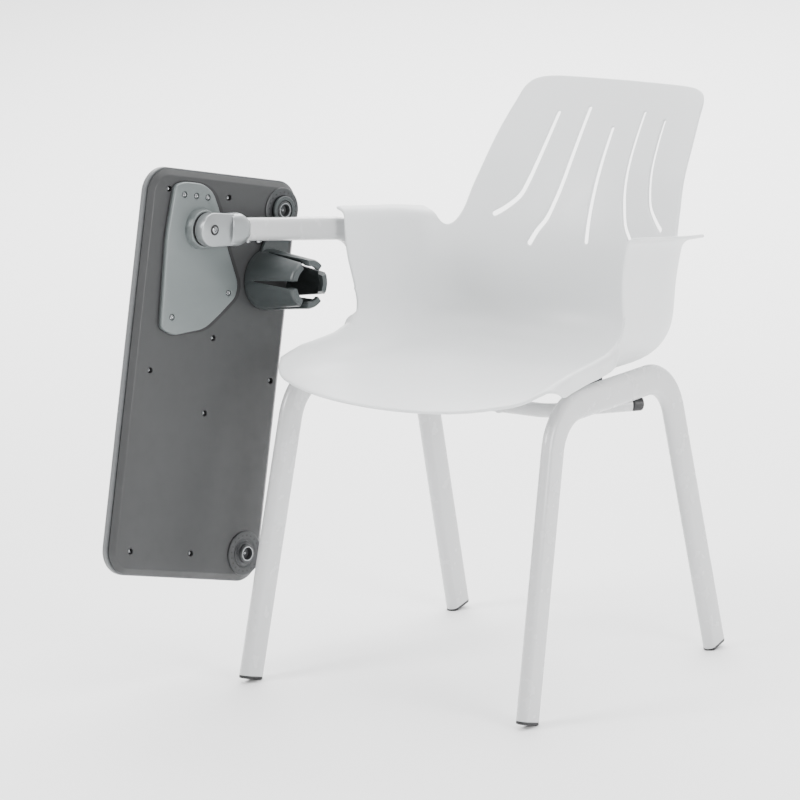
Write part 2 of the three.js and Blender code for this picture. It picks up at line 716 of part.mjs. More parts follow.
// Axes of the tablet: a to the rear along it, b up it, n out of its underside.
const TABLET_AXES = (() => {
  const [cy, sy] = [Math.cos(TABLET_YAW), Math.sin(TABLET_YAW)];
  const [ct, st] = [Math.cos(TABLET_TILT), Math.sin(TABLET_TILT)];
  const n = new THREE.Vector3(cy * ct, -sy * ct, st);
  const level = new THREE.Vector3(sy, cy, 0);
  const up = n.clone().cross(level);
  const [cr, sr] = [Math.cos(TABLET_ROLL), Math.sin(TABLET_ROLL)];
  const a = level.clone().multiplyScalar(cr).addScaledVector(up, -sr);
  const b = level.clone().multiplyScalar(sr).addScaledVector(up, cr);
  return { a, b, n };
})();
const ARM_AXIS = TABLET_AXES.a.clone().multiplyScalar(Math.cos(ARM_ROLL))
  .addScaledVector(TABLET_AXES.b, Math.sin(ARM_ROLL));

// Places a piece drawn at the pivot with x along the arm tube and z out of the underside.
function onArm(geometry) {
  const y = TABLET_AXES.n.clone().cross(ARM_AXIS);
  const matrix = new THREE.Matrix4().makeBasis(ARM_AXIS, y, TABLET_AXES.n).setPosition(PIVOT);
  return geometry.applyMatrix4(matrix);
}

// Places a piece drawn at the pivot with x and y along the tablet.
function onTablet(geometry) {
  const { a, b, n } = TABLET_AXES;
  return geometry.applyMatrix4(new THREE.Matrix4().makeBasis(a, b, n).setPosition(PIVOT));
}

const ARM_FOOT = new THREE.Vector3(ARM.footX, ARM.footY, ARM.footZ);

function armPath(startAt) {
  const start = PIVOT.clone().addScaledVector(ARM_AXIS, startAt);
  const corner = PIVOT.clone().addScaledVector(ARM_AXIS, ARM.corner);
  const down = ARM_FOOT.clone().sub(corner).normalize();
  return new BentPath([start, corner, ARM_FOOT.clone().addScaledVector(down, 30)], ARM.bend, 7);
}

function armTube() {
  const body = tube(armPath(62), hollowOval(ARM.height, ARM.depth, ARM.wall), 3);
  const ball = onArm(new THREE.SphereGeometry(KNUCKLE.ballRadius + 0.6, 20, 12)
    .translate(KNUCKLE.ballX, 0, 0));
  const screws = ARM_SCREWS.map((x) => onArm(screwHole(x)));
  return cut(body, ball, ...screws, ...armBoltHoles());
}

const ARM_SCREWS = [79.5, 101];
const ARM_SCREW_RADIUS = 2.5;

function screwHole(x) {
  return cylinder(ARM_SCREW_RADIUS + GAP, 0, 40, 10).rotateX(Math.PI / 2).translate(x, 0, 0);
}

// Plug in the tube's open end, carrying the shaft that the knuckle turns on.
function armInsert() {
  const bore = 2 * (ARM.wall + 3 * GAP);
  const plug = extrude(ovalPath(THREE.Shape, ARM.height - bore, ARM.depth - bore), 68, 128, 3)
    .rotateZ(Math.PI / 2).rotateY(Math.PI / 2);
  const shaft = cylinder(KNUCKLE.shaftRadius, KNUCKLE.boreEnd + 1, 90, 14).rotateY(Math.PI / 2);
  const ball = new THREE.SphereGeometry(KNUCKLE.ballRadius + 1.6, 16, 10)
    .translate(KNUCKLE.ballX, 0, 0);
  const trimmed = cut(plug, ball);
  return onArm(cut(join(trimmed, shaft), ...ARM_SCREWS.map(screwHole)));
}

function armScrew(x) {
  const piece = screw(4.6, 3.2, ARM_SCREW_RADIUS, 11).rotateX(-Math.PI / 2);
  return onArm(piece.translate(x, -ARM.height / 2 - GAP, 0));
}

function armBoltHoles() {
  return ARM.boltZ.map((z) => cylinder(ARM.boltRadius + GAP, 0, 60, 12)
    .rotateY(Math.PI / 2).translate(ARM.footX - 30, ARM.footY, z));
}

// Middle of the leaning post, and outer face of the rail beside it.
const postX = (z) => {
  const corner = PIVOT.clone().addScaledVector(ARM_AXIS, ARM.corner);
  return ARM.footX + ((z - ARM.footZ) * (corner.x - ARM.footX)) / (corner.z - ARM.footZ);
};
const railOuterX = (z) => -(FRAME.planeX + FRAME.toeY * ARM.footY + FRAME.leanZ * z
  + FRAME.depth / 2);

// Clamp block between the post and the rail, hollowed to seat the post.
function armBracket() {
  const inner = railOuterX(FRAME.railZ - 22) - GAP;
  const shape = roundRect(THREE.Shape, -25, -20, 25, 20, 6);
  const block = extrude(shape, 0, inner - ARM.footX, 3).rotateZ(Math.PI / 2).rotateY(Math.PI / 2)
    .translate(ARM.footX, ARM.footY, FRAME.railZ);
  const post = tube(armPath(200),
    ovalPath(THREE.Shape, ARM.height + 2 * GAP, ARM.depth + 2 * GAP), 3);
  return cut(block, post, ...armBoltHoles());
}

function armBolt(z) {
  const start = postX(z) - ARM.depth / 2 - ARM.headStandoff;
  return screw(8, 4, ARM.boltRadius, 36).rotateY(Math.PI / 2).translate(start, ARM.footY, z);
}

// ---------------------------------------------------------------- knuckle and pivot

const FIT = {
  boltRadius: 5,
  boltEnd: -25,
  sinkRadius: 7.4,
  sinkDepth: 2.4,
  ringRadius: 7.1,
  washerRadius: 25.5,
  washerFrom: -6.7,
  washerTo: -4.7,
  nutRadius: 8.4,                     // across its corners, halved
  nutFrom: -25.2,
  nutTo: -19.8,
};

function knuckle() {
  const { radius, back, front, ballX, ballRadius, ballHalfDepth } = KNUCKLE;
  const disc = cylinder(radius, back, front, 28);
  const neckShape = new THREE.Shape();
  neckShape.moveTo(0, -radius + 0.6);
  neckShape.lineTo(36, -radius + 2.4);
  neckShape.lineTo(36, radius - 2.4);
  neckShape.lineTo(0, radius - 0.6);
  neckShape.closePath();
  const neck = extrude(neckShape, back, front);
  const ball = new THREE.SphereGeometry(ballRadius, 24, 14).translate(ballX, 0, 0);
  const barrel = cylinder(ballRadius - 1, 34, ballX, 24).rotateY(Math.PI / 2);
  const slab = solid(box(33, -60, -ballHalfDepth, 120, 60, ballHalfDepth + 2));
  const head = solid(ball).add(solid(barrel)).intersect(slab);
  const shaft = cylinder(KNUCKLE.shaftRadius + GAP, KNUCKLE.boreEnd, 120, 14).rotateY(Math.PI / 2);
  const hole = cylinder(FIT.boltRadius + GAP, -20, 40, 16);
  const sink = cylinder(FIT.sinkRadius, front - FIT.sinkDepth, front + 10, 20);
  const body = solid(disc).add(solid(neck)).add(head).subtract(solid(shaft))
    .subtract(solid(hole)).subtract(solid(sink));
  return onArm(geometryOf(body));
}

function pivotWasher() {
  const disc = cylinder(FIT.washerRadius, FIT.washerFrom, FIT.washerTo, 24);
  return onArm(cut(disc, cylinder(FIT.boltRadius + 2 * GAP, -12, 0, 12)));
}

function pivotRing() {
  const { front } = KNUCKLE;
  const ring = cylinder(FIT.ringRadius, front - FIT.sinkDepth + GAP, front + 0.9, 16);
  return onArm(cut(ring, cylinder(FIT.boltRadius + GAP, 0, 30, 16)));
}

function pivotBolt() {
  const { boltRadius: r, boltEnd } = FIT;
  const profile = [[0, boltEnd], [r, boltEnd], [r, 12.2], [r - 0.1, 13.4], [3.4, 14], [3, 12.6],
    [0, 12.6]];
  const bolt = new THREE.LatheGeometry(profile.map(([x, y]) => new THREE.Vector2(x, y)), 14);
  return onArm(bolt.rotateX(Math.PI / 2));
}

function pivotNut() {
  const hex = cylinder(FIT.nutRadius, FIT.nutFrom, FIT.nutTo, 6);
  return onArm(cut(hex, cylinder(FIT.boltRadius + GAP, -30, 0, 16)));
}

// ---------------------------------------------------------------- hinge plate

const PLATE_OUTLINE = [[-57.6, 59.4], [-38.5, 66], [-1.5, 66], [19.5, 56], [38, 27.7],
  [59.8, -22.6], [89.4, -74], [88, -95], [53, -129], [31, -147], [-31, -161], [-55, -151],
  [-57, -138], [-63.4, -16]];
const PLATE_SCREWS = [[-38, 47], [-14, 47], [9, 46.6], [71, -90], [-37, -134]];

// Polygon with each corner rounded by a quadratic curve.
function roundedPolygon(points, reach) {
  const shape = new THREE.Shape();
  const count = points.length;
  const at = (i) => new THREE.Vector2(...points[(i + count) % count]);
  for (let i = 0; i < count; i++) {
    const here = at(i);
    const before = at(i - 1).sub(here);
    const after = at(i + 1).sub(here);
    const cutBack = Math.min(reach, before.length() * 0.45, after.length() * 0.45);
    const start = here.clone().addScaledVector(before.normalize(), cutBack);
    const end = here.clone().addScaledVector(after.normalize(), cutBack);
    if (i === 0) shape.moveTo(start.x, start.y);
    else shape.lineTo(start.x, start.y);
    shape.quadraticCurveTo(here.x, here.y, end.x, end.y);
  }
  shape.closePath();
  return shape;
}

function hingePlate() {
  const plate = extrude(roundedPolygon(PLATE_OUTLINE, 12), -25.7, -19, 2);
  const boss = cylinder(30, -20, -7, 28, 27);
  const bore = cylinder(5 + GAP, -40, 20, 16);
  const pocket = cylinder(10.5, -40, -19.4, 24);
  const screws = PLATE_SCREWS.flatMap(([a, b]) => [
    cylinder(2.3, -40, 0, 8).translate(a, b, 0),
    cylinder(4.6, -21.4, 0, 8).translate(a, b, 0)]);
  return onTablet(cut(join(plate, boss), bore, pocket, ...screws));
}

function plateScrew([a, b]) {
  return onTablet(screw(4.2, 2.2, 2, 9).rotateX(Math.PI).translate(a, b, -21.4 + GAP));
}

// ---------------------------------------------------------------- tablet

const COVER_SCREWS = [[-63, 53], [58, 50], [57, -159], [-62, -214.5], [183, -215], [56, -271],
  [-62, -482], [59, -480], [180, -477.5]];
const SEAT_N = -31;                   // where the cover screws' heads sit

function tabletOutline(Type, inset) {
  const { left, right, bottom, top, corner } = TABLET;
  return roundRect(Type, left + inset, bottom + inset, right - inset, top - inset, corner - inset);
}

// Shallow tray: bevelled outside, open towards the seam.
function bevelled(inset, from, to, bevelSize, bevelThickness, segments) {
  const geometry = new THREE.ExtrudeGeometry(tabletOutline(THREE.Shape, inset + bevelSize), {
    depth: Math.abs(to - from), bevelEnabled: true, bevelSize, bevelThickness,
    bevelSegments: segments, curveSegments: 3 });
  geometry.translate(0, 0, Math.min(from, to));
  return geometry;
}

const screwAt = (radius, from, to, sides) => COVER_SCREWS.map(([a, b]) =>
  cylinder(radius, from, to, sides).translate(a, b, 0));

function tabletCover() {
  const { underside: face, seam, bevel, wall } = TABLET;
  const edge = seam + 0.7;
  const depth = face - edge;
  const outer = solid(bevelled(0, edge - 1, edge, bevel, depth, 1))
    .intersect(solid(box(-300, -600, edge, 400, 200, 0)));
  const inner = solid(bevelled(wall, edge - 1, edge, bevel, depth - wall, 1));
  let body = outer.subtract(inner);
  for (const boss of screwAt(6.5, edge + 0.2, face - 1, 8)) body = body.add(solid(boss));
  for (const sink of screwAt(4.6, SEAT_N, 0, 10)) body = body.subtract(solid(sink));
  for (const hole of screwAt(2.1, -60, 0, 6)) body = body.subtract(solid(hole));
  for (const [a, b] of PLATE_SCREWS) {
    body = body.subtract(solid(cylinder(2.3, -60, 0, 6).translate(a, b, 0)));
  }
  for (const b of [DIAL.top, DIAL.bottom]) {
    body = body.subtract(solid(cylinder(6.3, -60, 0, 16).translate(DIAL.a, b, 0)));
  }
  return onTablet(geometryOf(body));
}

function tabletSeal() {
  const shape = tabletOutline(THREE.Shape, 1.4);
  shape.holes.push(tabletOutline(THREE.Path, 4.4));
  return onTablet(extrude(shape, TABLET.seam - 0.5, TABLET.seam + 0.4, 3));
}

function tabletTop() {
  const { seam, face, wall } = TABLET;
  const edge = seam - 0.8;
  const depth = edge - face;
  const outer = solid(bevelled(0, edge, edge + 1, 5, 5, 2).translate(0, 0, -depth + 5))
    .add(solid(extrude(tabletOutline(THREE.Shape, 0), face + 5, edge, 3)))
    .intersect(solid(box(-300, -600, face, 400, 200, edge)));
  const inner = extrude(tabletOutline(THREE.Shape, 4), face + wall, edge + 5, 3);
  let body = outer.subtract(solid(inner));
  for (const boss of screwAt(5, face + 1, edge, 8)) body = body.add(solid(boss));
  for (const hole of screwAt(2.1, face + 3.5, 0, 6)) body = body.subtract(solid(hole));
  return onTablet(geometryOf(body));
}

function coverScrew([a, b]) {
  return onTablet(screw(4, 2.4, 1.8, 9).rotateX(Math.PI).translate(a, b, SEAT_N + GAP));
}

// Round turning dial on the underside, with a raised hub.
function dial(b) {
  const { radius, hub, rise, hubRise, a } = DIAL;
  const face = TABLET.underside + GAP;
  const profile = [[0, face - 4], [6, face - 4], [6, face], [radius, face],
    [radius - 1, face + rise], [hub + 3, face + rise], [hub, face + rise + 1.2],
    [hub, face + hubRise - 1], [hub - 1.5, face + hubRise], [6, face + hubRise],
    [5, face + hubRise - 2.4], [0, face + hubRise - 2.4]];
  const shape = new THREE.LatheGeometry(profile.map(([x, y]) => new THREE.Vector2(x, y)), 20);
  return onTablet(shape.rotateX(Math.PI / 2).translate(a, b, 0));
}

function dialScrew(b) {
  const face = TABLET.underside + GAP + DIAL.hubRise - 2.4 + GAP;
  const profile = [[0, face], [3.6, face], [3.6, face + 1.2], [2.4, face + 2], [0, face + 2]];
  const shape = new THREE.LatheGeometry(profile.map(([x, y]) => new THREE.Vector2(x, y)), 8);
  return onTablet(shape.rotateX(Math.PI / 2).translate(DIAL.a, b, 0));
}

// ---------------------------------------------------------------- cup holder

function cupHolder() {
  const { collarRadius: R, tipRadius: r, wall, base, tip, hook, slitWidth, slitBase } = CUP;
  const profile = [[R - wall, base], [R, base], [R, base + 8], [r, tip - 3], [r - 2, tip],
    [r - wall - hook, tip - 1], [r - wall - hook, tip - 9], [r - wall, tip - 12],
    [R - wall, base + 8], [R - wall, base]];
  const wallRing = new THREE.LatheGeometry(
    profile.map(([x, y]) => new THREE.Vector2(x, y)), 30).rotateX(Math.PI / 2);
  const between = 360 / CUP.fingers;
  const slits = [];
  for (let i = 0; i < CUP.fingers; i++) {
    const slit = new THREE.Shape();
    slit.moveTo(0.8, slitBase);
    slit.lineTo(slitWidth / 2, tip + 1);
    slit.lineTo(-slitWidth / 2, tip + 1);
    slit.lineTo(-0.8, slitBase);
    slit.closePath();
    const wedge = extrude(slit, 4, 70).rotateX(Math.PI / 2).scale(1, -1, 1);
    const angle = CUP.firstFinger + between * (i + 0.5);
    slits.push(wedge.rotateZ(THREE.MathUtils.degToRad(angle - 90)));
  }
  const cup = solid(cut(wallRing, ...slits).translate(CUP.a, CUP.b, 0));
  const linkFrom = TABLET.underside + GAP + DIAL.rise + 1.5;
  const eye = cylinder(DIAL.hub + 7, linkFrom, linkFrom + 4.4, 20).translate(DIAL.a, DIAL.top, 0);
  const link = new THREE.Shape();
  link.moveTo(DIAL.a - 14, DIAL.top - 14);
  link.lineTo(CUP.a - 20, CUP.b + R - 6);
  link.lineTo(CUP.a + 24, CUP.b + R - 8);
  link.lineTo(DIAL.a + 15, DIAL.top - 13);
  link.closePath();
  const hub = cylinder(DIAL.hub + 0.9, -60, 60, 20).translate(DIAL.a, DIAL.top, 0);
  const cupSpace = cylinder(R - wall, -60, 60, 30).translate(CUP.a, CUP.b, 0);
  const arm = solid(eye).add(solid(extrude(link, linkFrom, linkFrom + 4.4)))
    .subtract(solid(cupSpace));
  return onTablet(geometryOf(cup.add(arm).subtract(solid(hub))));
}

// ---------------------------------------------------------------- assembly

const chair = new THREE.Group();

function place(name, geometry, finish) {
  const mesh = new THREE.Mesh(welded(geometry), material(finish));
  mesh.geometry.computeVertexNormals();
  mesh.name = name;
  chair.add(mesh);
}

place('seat_shell', seatShell(), 'shell');
for (const [word, side] of [['left', 1], ['right', -1]]) {
  place(`side_frame_${word}`, sideFrame(side), 'frame');
  place(`foot_cap_front_${word}`, footCap(side, -1), 'black');
  place(`foot_cap_rear_${word}`, footCap(side, 1), 'black');
  place(`support_bar_plug_${word}`, barPlug(side), 'black');
}
place('support_bar', supportBar(), 'frame');
for (let i = 0; i < SADDLE.count; i++) {
  place(`seat_saddle_${i + 1}`, saddle(i), 'black');
  place(`seat_screw_${i + 1}`, shellScrew(i), 'steel');
}

place('tablet_arm_tube', armTube(), 'frame');
place('tablet_arm_bracket', armBracket(), 'frame');
ARM.boltZ.forEach((z, i) => place(`tablet_arm_bolt_${i + 1}`, armBolt(z), 'steel'));
place('arm_insert', armInsert(), 'steel');
ARM_SCREWS.forEach((x, i) => place(`arm_insert_screw_${i + 1}`, armScrew(x), 'steel'));

place('knuckle', knuckle(), 'casting');
place('pivot_washer', pivotWasher(), 'black');
place('pivot_ring', pivotRing(), 'black');
place('pivot_bolt', pivotBolt(), 'steel');
place('pivot_nut', pivotNut(), 'steel');

place('hinge_plate', hingePlate(), 'plate');
PLATE_SCREWS.forEach((at, i) => place(`hinge_plate_screw_${i + 1}`, plateScrew(at), 'steel'));
place('tablet_cover', tabletCover(), 'cover');
place('tablet_seal', tabletSeal(), 'black');
place('tablet_top', tabletTop(), 'top');
COVER_SCREWS.forEach((at, i) => place(`cover_screw_${i + 1}`, coverScrew(at), 'steel'));
place('dial_upper', dial(DIAL.top), 'cover');
place('dial_lower', dial(DIAL.bottom), 'cover');
place('dial_screw_upper', dialScrew(DIAL.top), 'steel');
place('dial_screw_lower', dialScrew(DIAL.bottom), 'steel');
place('cup_holder', cupHolder(), 'cup');

const bounds = new THREE.Box3().setFromObject(chair);
const middle = bounds.getCenter(new THREE.Vector3());
chair.position.set(-middle.x, -middle.y, -bounds.min.z);

export default chair;
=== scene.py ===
"""Looks of the student desk chair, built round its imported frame.

Shapes are drawn in millimetres from the middle of the four feet, and piece() turns them into metres.
"""

import json
import math

import bmesh
import bpy
import numpy as np
from mathutils import Matrix, Vector
from mathutils.geometry import delaunay_2d_cdt


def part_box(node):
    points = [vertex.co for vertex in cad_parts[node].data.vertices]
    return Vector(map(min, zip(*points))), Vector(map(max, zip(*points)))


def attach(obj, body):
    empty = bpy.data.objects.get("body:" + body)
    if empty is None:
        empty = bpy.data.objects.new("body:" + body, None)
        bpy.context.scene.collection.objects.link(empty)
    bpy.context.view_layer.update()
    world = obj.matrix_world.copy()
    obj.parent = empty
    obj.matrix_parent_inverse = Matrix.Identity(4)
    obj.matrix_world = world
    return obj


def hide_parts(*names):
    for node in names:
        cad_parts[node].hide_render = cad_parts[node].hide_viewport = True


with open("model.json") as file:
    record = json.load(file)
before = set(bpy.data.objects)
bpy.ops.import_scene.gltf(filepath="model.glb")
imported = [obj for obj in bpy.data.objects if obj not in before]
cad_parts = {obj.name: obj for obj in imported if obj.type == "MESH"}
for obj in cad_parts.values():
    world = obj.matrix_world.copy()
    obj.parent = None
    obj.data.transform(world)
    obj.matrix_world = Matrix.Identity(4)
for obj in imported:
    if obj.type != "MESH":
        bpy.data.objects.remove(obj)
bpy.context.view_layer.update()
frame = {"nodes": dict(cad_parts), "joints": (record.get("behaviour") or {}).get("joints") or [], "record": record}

MM = 0.001

# ------------------------------------------------------------------ places from the frame

left_box = np.array(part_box("side_frame_left"), float)
right_box = np.array(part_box("side_frame_right"), float)
# Middle of the four feet.
ORIGIN = np.array([(left_box[1][0] + right_box[0][0]) / 2,
                   (left_box[0][1] + left_box[1][1]) / 2, 0.0]) / MM

joints = {joint["name"]: joint for joint in frame["joints"]}
PIVOT = np.array(joints["tablet_flip"]["pos_m"]) / MM - ORIGIN
ARM_AXIS = np.array(joints["tablet_flip"]["axis"])
TABLET_N = -np.array(joints["tablet_swivel"]["axis"])
ARM_ROLL = math.radians(5.1)  # from the arm tube to the tablet's long sides, in the tablet's plane
ARM_SIDE = np.cross(TABLET_N, ARM_AXIS)
TABLET_A = math.cos(ARM_ROLL) * ARM_AXIS - math.sin(ARM_ROLL) * ARM_SIDE
TABLET_B = math.sin(ARM_ROLL) * ARM_AXIS + math.cos(ARM_ROLL) * ARM_SIDE


def on_arm(points):
    """Points drawn at the pivot, x along the arm tube and z out of the tablet's underside."""
    return PIVOT + np.asarray(points, float) @ np.array([ARM_AXIS, ARM_SIDE, TABLET_N])


def on_tablet(points):
    """Points drawn at the pivot, x and y along the tablet."""
    return PIVOT + np.asarray(points, float) @ np.array([TABLET_A, TABLET_B, TABLET_N])


# ------------------------------------------------------------------ camera, light, floor

CAMERA = {"azimuth": 35.44, "elevation": 11.98, "roll": -1.07, "distance": 8277.0,
          "aim": (-152.0, 0.0, 388.0), "focal_px": 5534.0}


def make_camera():
    az, el, roll = (math.radians(CAMERA[key]) for key in ("azimuth", "elevation", "roll"))
    back = Vector((math.sin(az) * math.cos(el), -math.cos(az) * math.cos(el), math.sin(el)))
    right = Vector((math.cos(az), math.sin(az), 0))
    up = back.cross(right)
    turned_right = math.cos(roll) * right + math.sin(roll) * up
    turned_up = -math.sin(roll) * right + math.cos(roll) * up
    aim = Vector((np.array(CAMERA["aim"]) + ORIGIN) * MM)
    data = bpy.data.cameras.new("camera")
    data.sensor_width = 36
    data.lens = CAMERA["focal_px"] * data.sensor_width / 800
    data.clip_end = 100
    camera = bpy.data.objects.new("camera", data)
    rotation = Matrix((turned_right, turned_up, back)).transposed()
    camera.matrix_world = Matrix.Translation(aim + back * CAMERA["distance"] * MM) @ rotation.to_4x4()
    bpy.context.scene.collection.objects.link(camera)
    bpy.context.scene.camera = camera


def area_light(name, place, target, size, watts):
    data = bpy.data.lights.new(name, "AREA")
    data.shape = "RECTANGLE"
    data.size, data.size_y = size
    data.energy = watts
    light = bpy.data.objects.new(name, data)
    light.location = place
    light.rotation_euler = (Vector(target) - Vector(place)).to_track_quat("-Z", "Y").to_euler()
    bpy.context.scene.collection.objects.link(light)


def make_world():
    """White studio that is brightest behind the chair and dimmer in front of it."""
    world = bpy.data.worlds.new("studio")
    world.use_nodes = True
    tree = world.node_tree
    direction = tree.nodes.new("ShaderNodeTexCoord")
    toward = tree.nodes.new("ShaderNodeVectorMath")
    toward.operation = "DOT_PRODUCT"
    toward.inputs[1].default_value = (-0.58, 0.815, 0.0)
    tree.links.new(direction.outputs["Generated"], toward.inputs[0])
    level = tree.nodes.new("ShaderNodeMapRange")
    level.interpolation_type = "SMOOTHSTEP"
    level.inputs["From Min"].default_value = -0.5
    level.inputs["From Max"].default_value = 0.75
    level.inputs["To Min"].default_value = 0.5
    level.inputs["To Max"].default_value = 2.6
    tree.links.new(toward.outputs["Value"], level.inputs["Value"])
    tree.links.new(level.outputs["Result"], tree.nodes["Background"].inputs["Strength"])
    tree.nodes["Background"].inputs["Color"].default_value = (1, 1, 1, 1)
    bpy.context.scene.world = world


def make_lights():
    area_light("key", (-1.7, -2.9, 2.6), (0, 0, 0.45), (1.5, 1.5), 140)
    area_light("fill", (3.6, -1.0, 1.5), (0, 0, 0.45), (1.6, 1.6), 120)
    area_light("top", (0.2, 0.3, 3.6), (0, 0, 0), (2.6, 2.6), 95)
    area_light("floor_wash", (-2.5, 4.5, 3.0), (-1.5, 5.0, 0), (6.0, 4.0), 500)


def make_floor():
    size = 14.0
    mesh = bpy.data.meshes.new("floor")
    mesh.from_pydata([(-size, -size, 0), (size, -size, 0), (size, size, 0), (-size, size, 0)], [],
                     [(0, 1, 2, 3)])
    floor = bpy.data.objects.new("floor", mesh)
    bpy.context.scene.collection.objects.link(floor)
    material = bpy.data.materials.new("floor")
    material.use_nodes = True
    shader = material.node_tree.nodes["Principled BSDF"]
    shader.inputs["Base Color"].default_value = (0.97, 0.97, 0.97, 1)
    shader.inputs["Roughness"].default_value = 0.7
    mesh.materials.append(material)


# ------------------------------------------------------------------ materials

def surface(name, colour, roughness, metallic=0.0, grain=900.0, bump=0.15, depth=0.00008,
            tint=0.05, patch=9.0, uneven=0.06, coat=0.0):
    """Procedural finish: fine grain in the bump, slow variation in colour and roughness."""
    material = bpy.data.materials.new(name)
    material.use_nodes = True
    tree = material.node_tree
    shader = tree.nodes["Principled BSDF"]
    shader.inputs["Metallic"].default_value = metallic
    shader.inputs["Coat Weight"].default_value = coat
    shader.inputs["Coat Roughness"].default_value = 0.25
    place = tree.nodes.new("ShaderNodeTexCoord")

    def noise(scale, detail):
        node = tree.nodes.new("ShaderNodeTexNoise")
        node.inputs["Scale"].default_value = scale
        node.inputs["Detail"].default_value = detail
        tree.links.new(place.outputs["Object"], node.inputs["Vector"])
        return node.outputs["Fac"]

    slow = noise(patch, 3)
    ramp = tree.nodes.new("ShaderNodeValToRGB")
    ramp.color_ramp.elements[0].position = 0.3
    ramp.color_ramp.elements[1].position = 0.7
    for element, factor in zip(ramp.color_ramp.elements, (1 - tint, 1 + tint)):
        element.color = (*[min(channel * factor, 1) for channel in colour], 1)
    tree.links.new(slow, ramp.inputs["Fac"])
    tree.links.new(ramp.outputs["Color"], shader.inputs["Base Color"])
    spread = tree.nodes.new("ShaderNodeMapRange")
    spread.inputs["From Min"].default_value = 0.3
    spread.inputs["From Max"].default_value = 0.7
    spread.inputs["To Min"].default_value = max(roughness - uneven, 0.02)
    spread.inputs["To Max"].default_value = min(roughness + uneven, 1)
    tree.links.new(noise(patch * 5, 4), spread.inputs["Value"])
    tree.links.new(spread.outputs["Result"], shader.inputs["Roughness"])
    relief = tree.nodes.new("ShaderNodeBump")
    relief.inputs["Strength"].default_value = bump
    relief.inputs["Distance"].default_value = depth
    tree.links.new(noise(grain, 2), relief.inputs["Height"])
    tree.links.new(relief.outputs["Normal"], shader.inputs["Normal"])
    return material


def make_materials():
    return {
        "shell": surface("shell", (0.70, 0.715, 0.72), 0.42,
                         grain=1400, bump=0.12, tint=0.012),
        "frame": surface("frame", (0.50, 0.505, 0.51), 0.24,
                         grain=1100, bump=0.12, tint=0.015, coat=0.6),
        "black": surface("black", (0.010, 0.010, 0.011), 0.5, grain=700, bump=0.25, tint=0.2),
        "steel": surface("steel", (0.36, 0.37, 0.38), 0.28, metallic=1.0,
                         grain=420, bump=0.02, tint=0.04, uneven=0.03),
        "casting": surface("casting", (0.34, 0.355, 0.36), 0.34, metallic=0.75,
                           grain=420, bump=0.03, tint=0.03, uneven=0.03),
        "plate": surface("plate", (0.145, 0.163, 0.163), 0.4, metallic=0.4,
                         grain=420, bump=0.03, tint=0.03, uneven=0.03),
        "cover": surface("cover", (0.028, 0.029, 0.030), 0.46, grain=1000, bump=0.35, tint=0.05),
        "top": surface("top", (0.085, 0.09, 0.093), 0.42, grain=1000, bump=0.3, tint=0.04),
        "dial": surface("dial", (0.032, 0.034, 0.036), 0.4, grain=1100, bump=0.25, tint=0.05),
        "cup": surface("cup", (0.040, 0.047, 0.048), 0.36, grain=1200, bump=0.25, tint=0.07),
    }


MATERIALS = make_materials()

# ------------------------------------------------------------------ mesh helpers

SHARP = math.radians(38)   # edges that turn more than this stay crisp
CRISP = math.radians(30)   # on castings and mouldings with bevels


def piece(name, points, faces, material, body, replaces=(), sharp=SHARP):
    """Adds a mesh, given in millimetres from the middle of the feet."""
    mesh = bpy.data.meshes.new(name)
    verts = (np.asarray(points, float) + ORIGIN) * MM
    mesh.from_pydata(verts.tolist(), [], [tuple(int(i) for i in face) for face in faces])
    bm = bmesh.new()
    bm.from_mesh(mesh)
    bmesh.ops.remove_doubles(bm, verts=bm.verts, dist=1e-7)
    bmesh.ops.recalc_face_normals(bm, faces=bm.faces)
    for face in bm.faces:
        face.smooth = True
    for edge in bm.edges:
        edge.smooth = len(edge.link_faces) != 2 or edge.calc_face_angle(0) < sharp
    bm.to_mesh(mesh)
    bm.free()
    made = bpy.data.objects.new(name, mesh)
    bpy.context.scene.collection.objects.link(made)
    mesh.materials.append(MATERIALS[material])
    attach(made, body)
    if replaces:
        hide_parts(*replaces)
    return made


def merge(*parts):
    """Joins (points, faces) pairs into one."""
    points, faces, start = [], [], 0
    for part_points, part_faces in parts:
        points.append(np.asarray(part_points, float))
        faces += [[i + start for i in face] for face in part_faces]
        start += len(part_points)
    return np.vstack(points), faces


def loft(rings, closed_ends=True):
    """Skins rings of equal length, each an (n, 3) array, and caps both ends."""
    count = len(rings[0])
    points = np.vstack(rings)
    faces = []
    for i in range(len(rings) - 1):
        for j in range(count):
            k = (j + 1) % count
            faces.append([i * count + j, i * count + k, (i + 1) * count + k, (i + 1) * count + j])
    if closed_ends:
        faces.append(list(range(count))[::-1])
        faces.append([(len(rings) - 1) * count + j for j in range(count)])
    return points, faces


def circle(radius, z, sides, centre=(0, 0)):
    t = np.arange(sides) * 2 * math.pi / sides
    return np.stack([centre[0] + radius * np.cos(t), centre[1] + radius * np.sin(t),
                     np.full(sides, float(z))], 1)


def lathe(profile, sides=48, centre=(0, 0)):
    """Turns (radius, z) pairs round the z axis; ends on the axis are closed by small rings."""
    return loft([circle(max(r, 0.02), z, sides, centre) for r, z in profile])


def rounded(profile, radius, steps=3):
    """Rounds each inner corner of a (r, z) profile."""
    points = [np.array(p, float) for p in profile]
    out = [points[0]]
    for before, here, after in zip(points, points[1:], points[2:]):
        reach = min(radius, np.linalg.norm(before - here) * 0.45, np.linalg.norm(after - here) * 0.45)
        start = here + (before - here) / np.linalg.norm(before - here) * reach
        end = here + (after - here) / np.linalg.norm(after - here) * reach
        for t in np.linspace(0, 1, steps + 1):
            out.append((1 - t) ** 2 * start + 2 * t * (1 - t) * here + t * t * end)
    out.append(points[-1])
    return [tuple(p) for p in out]


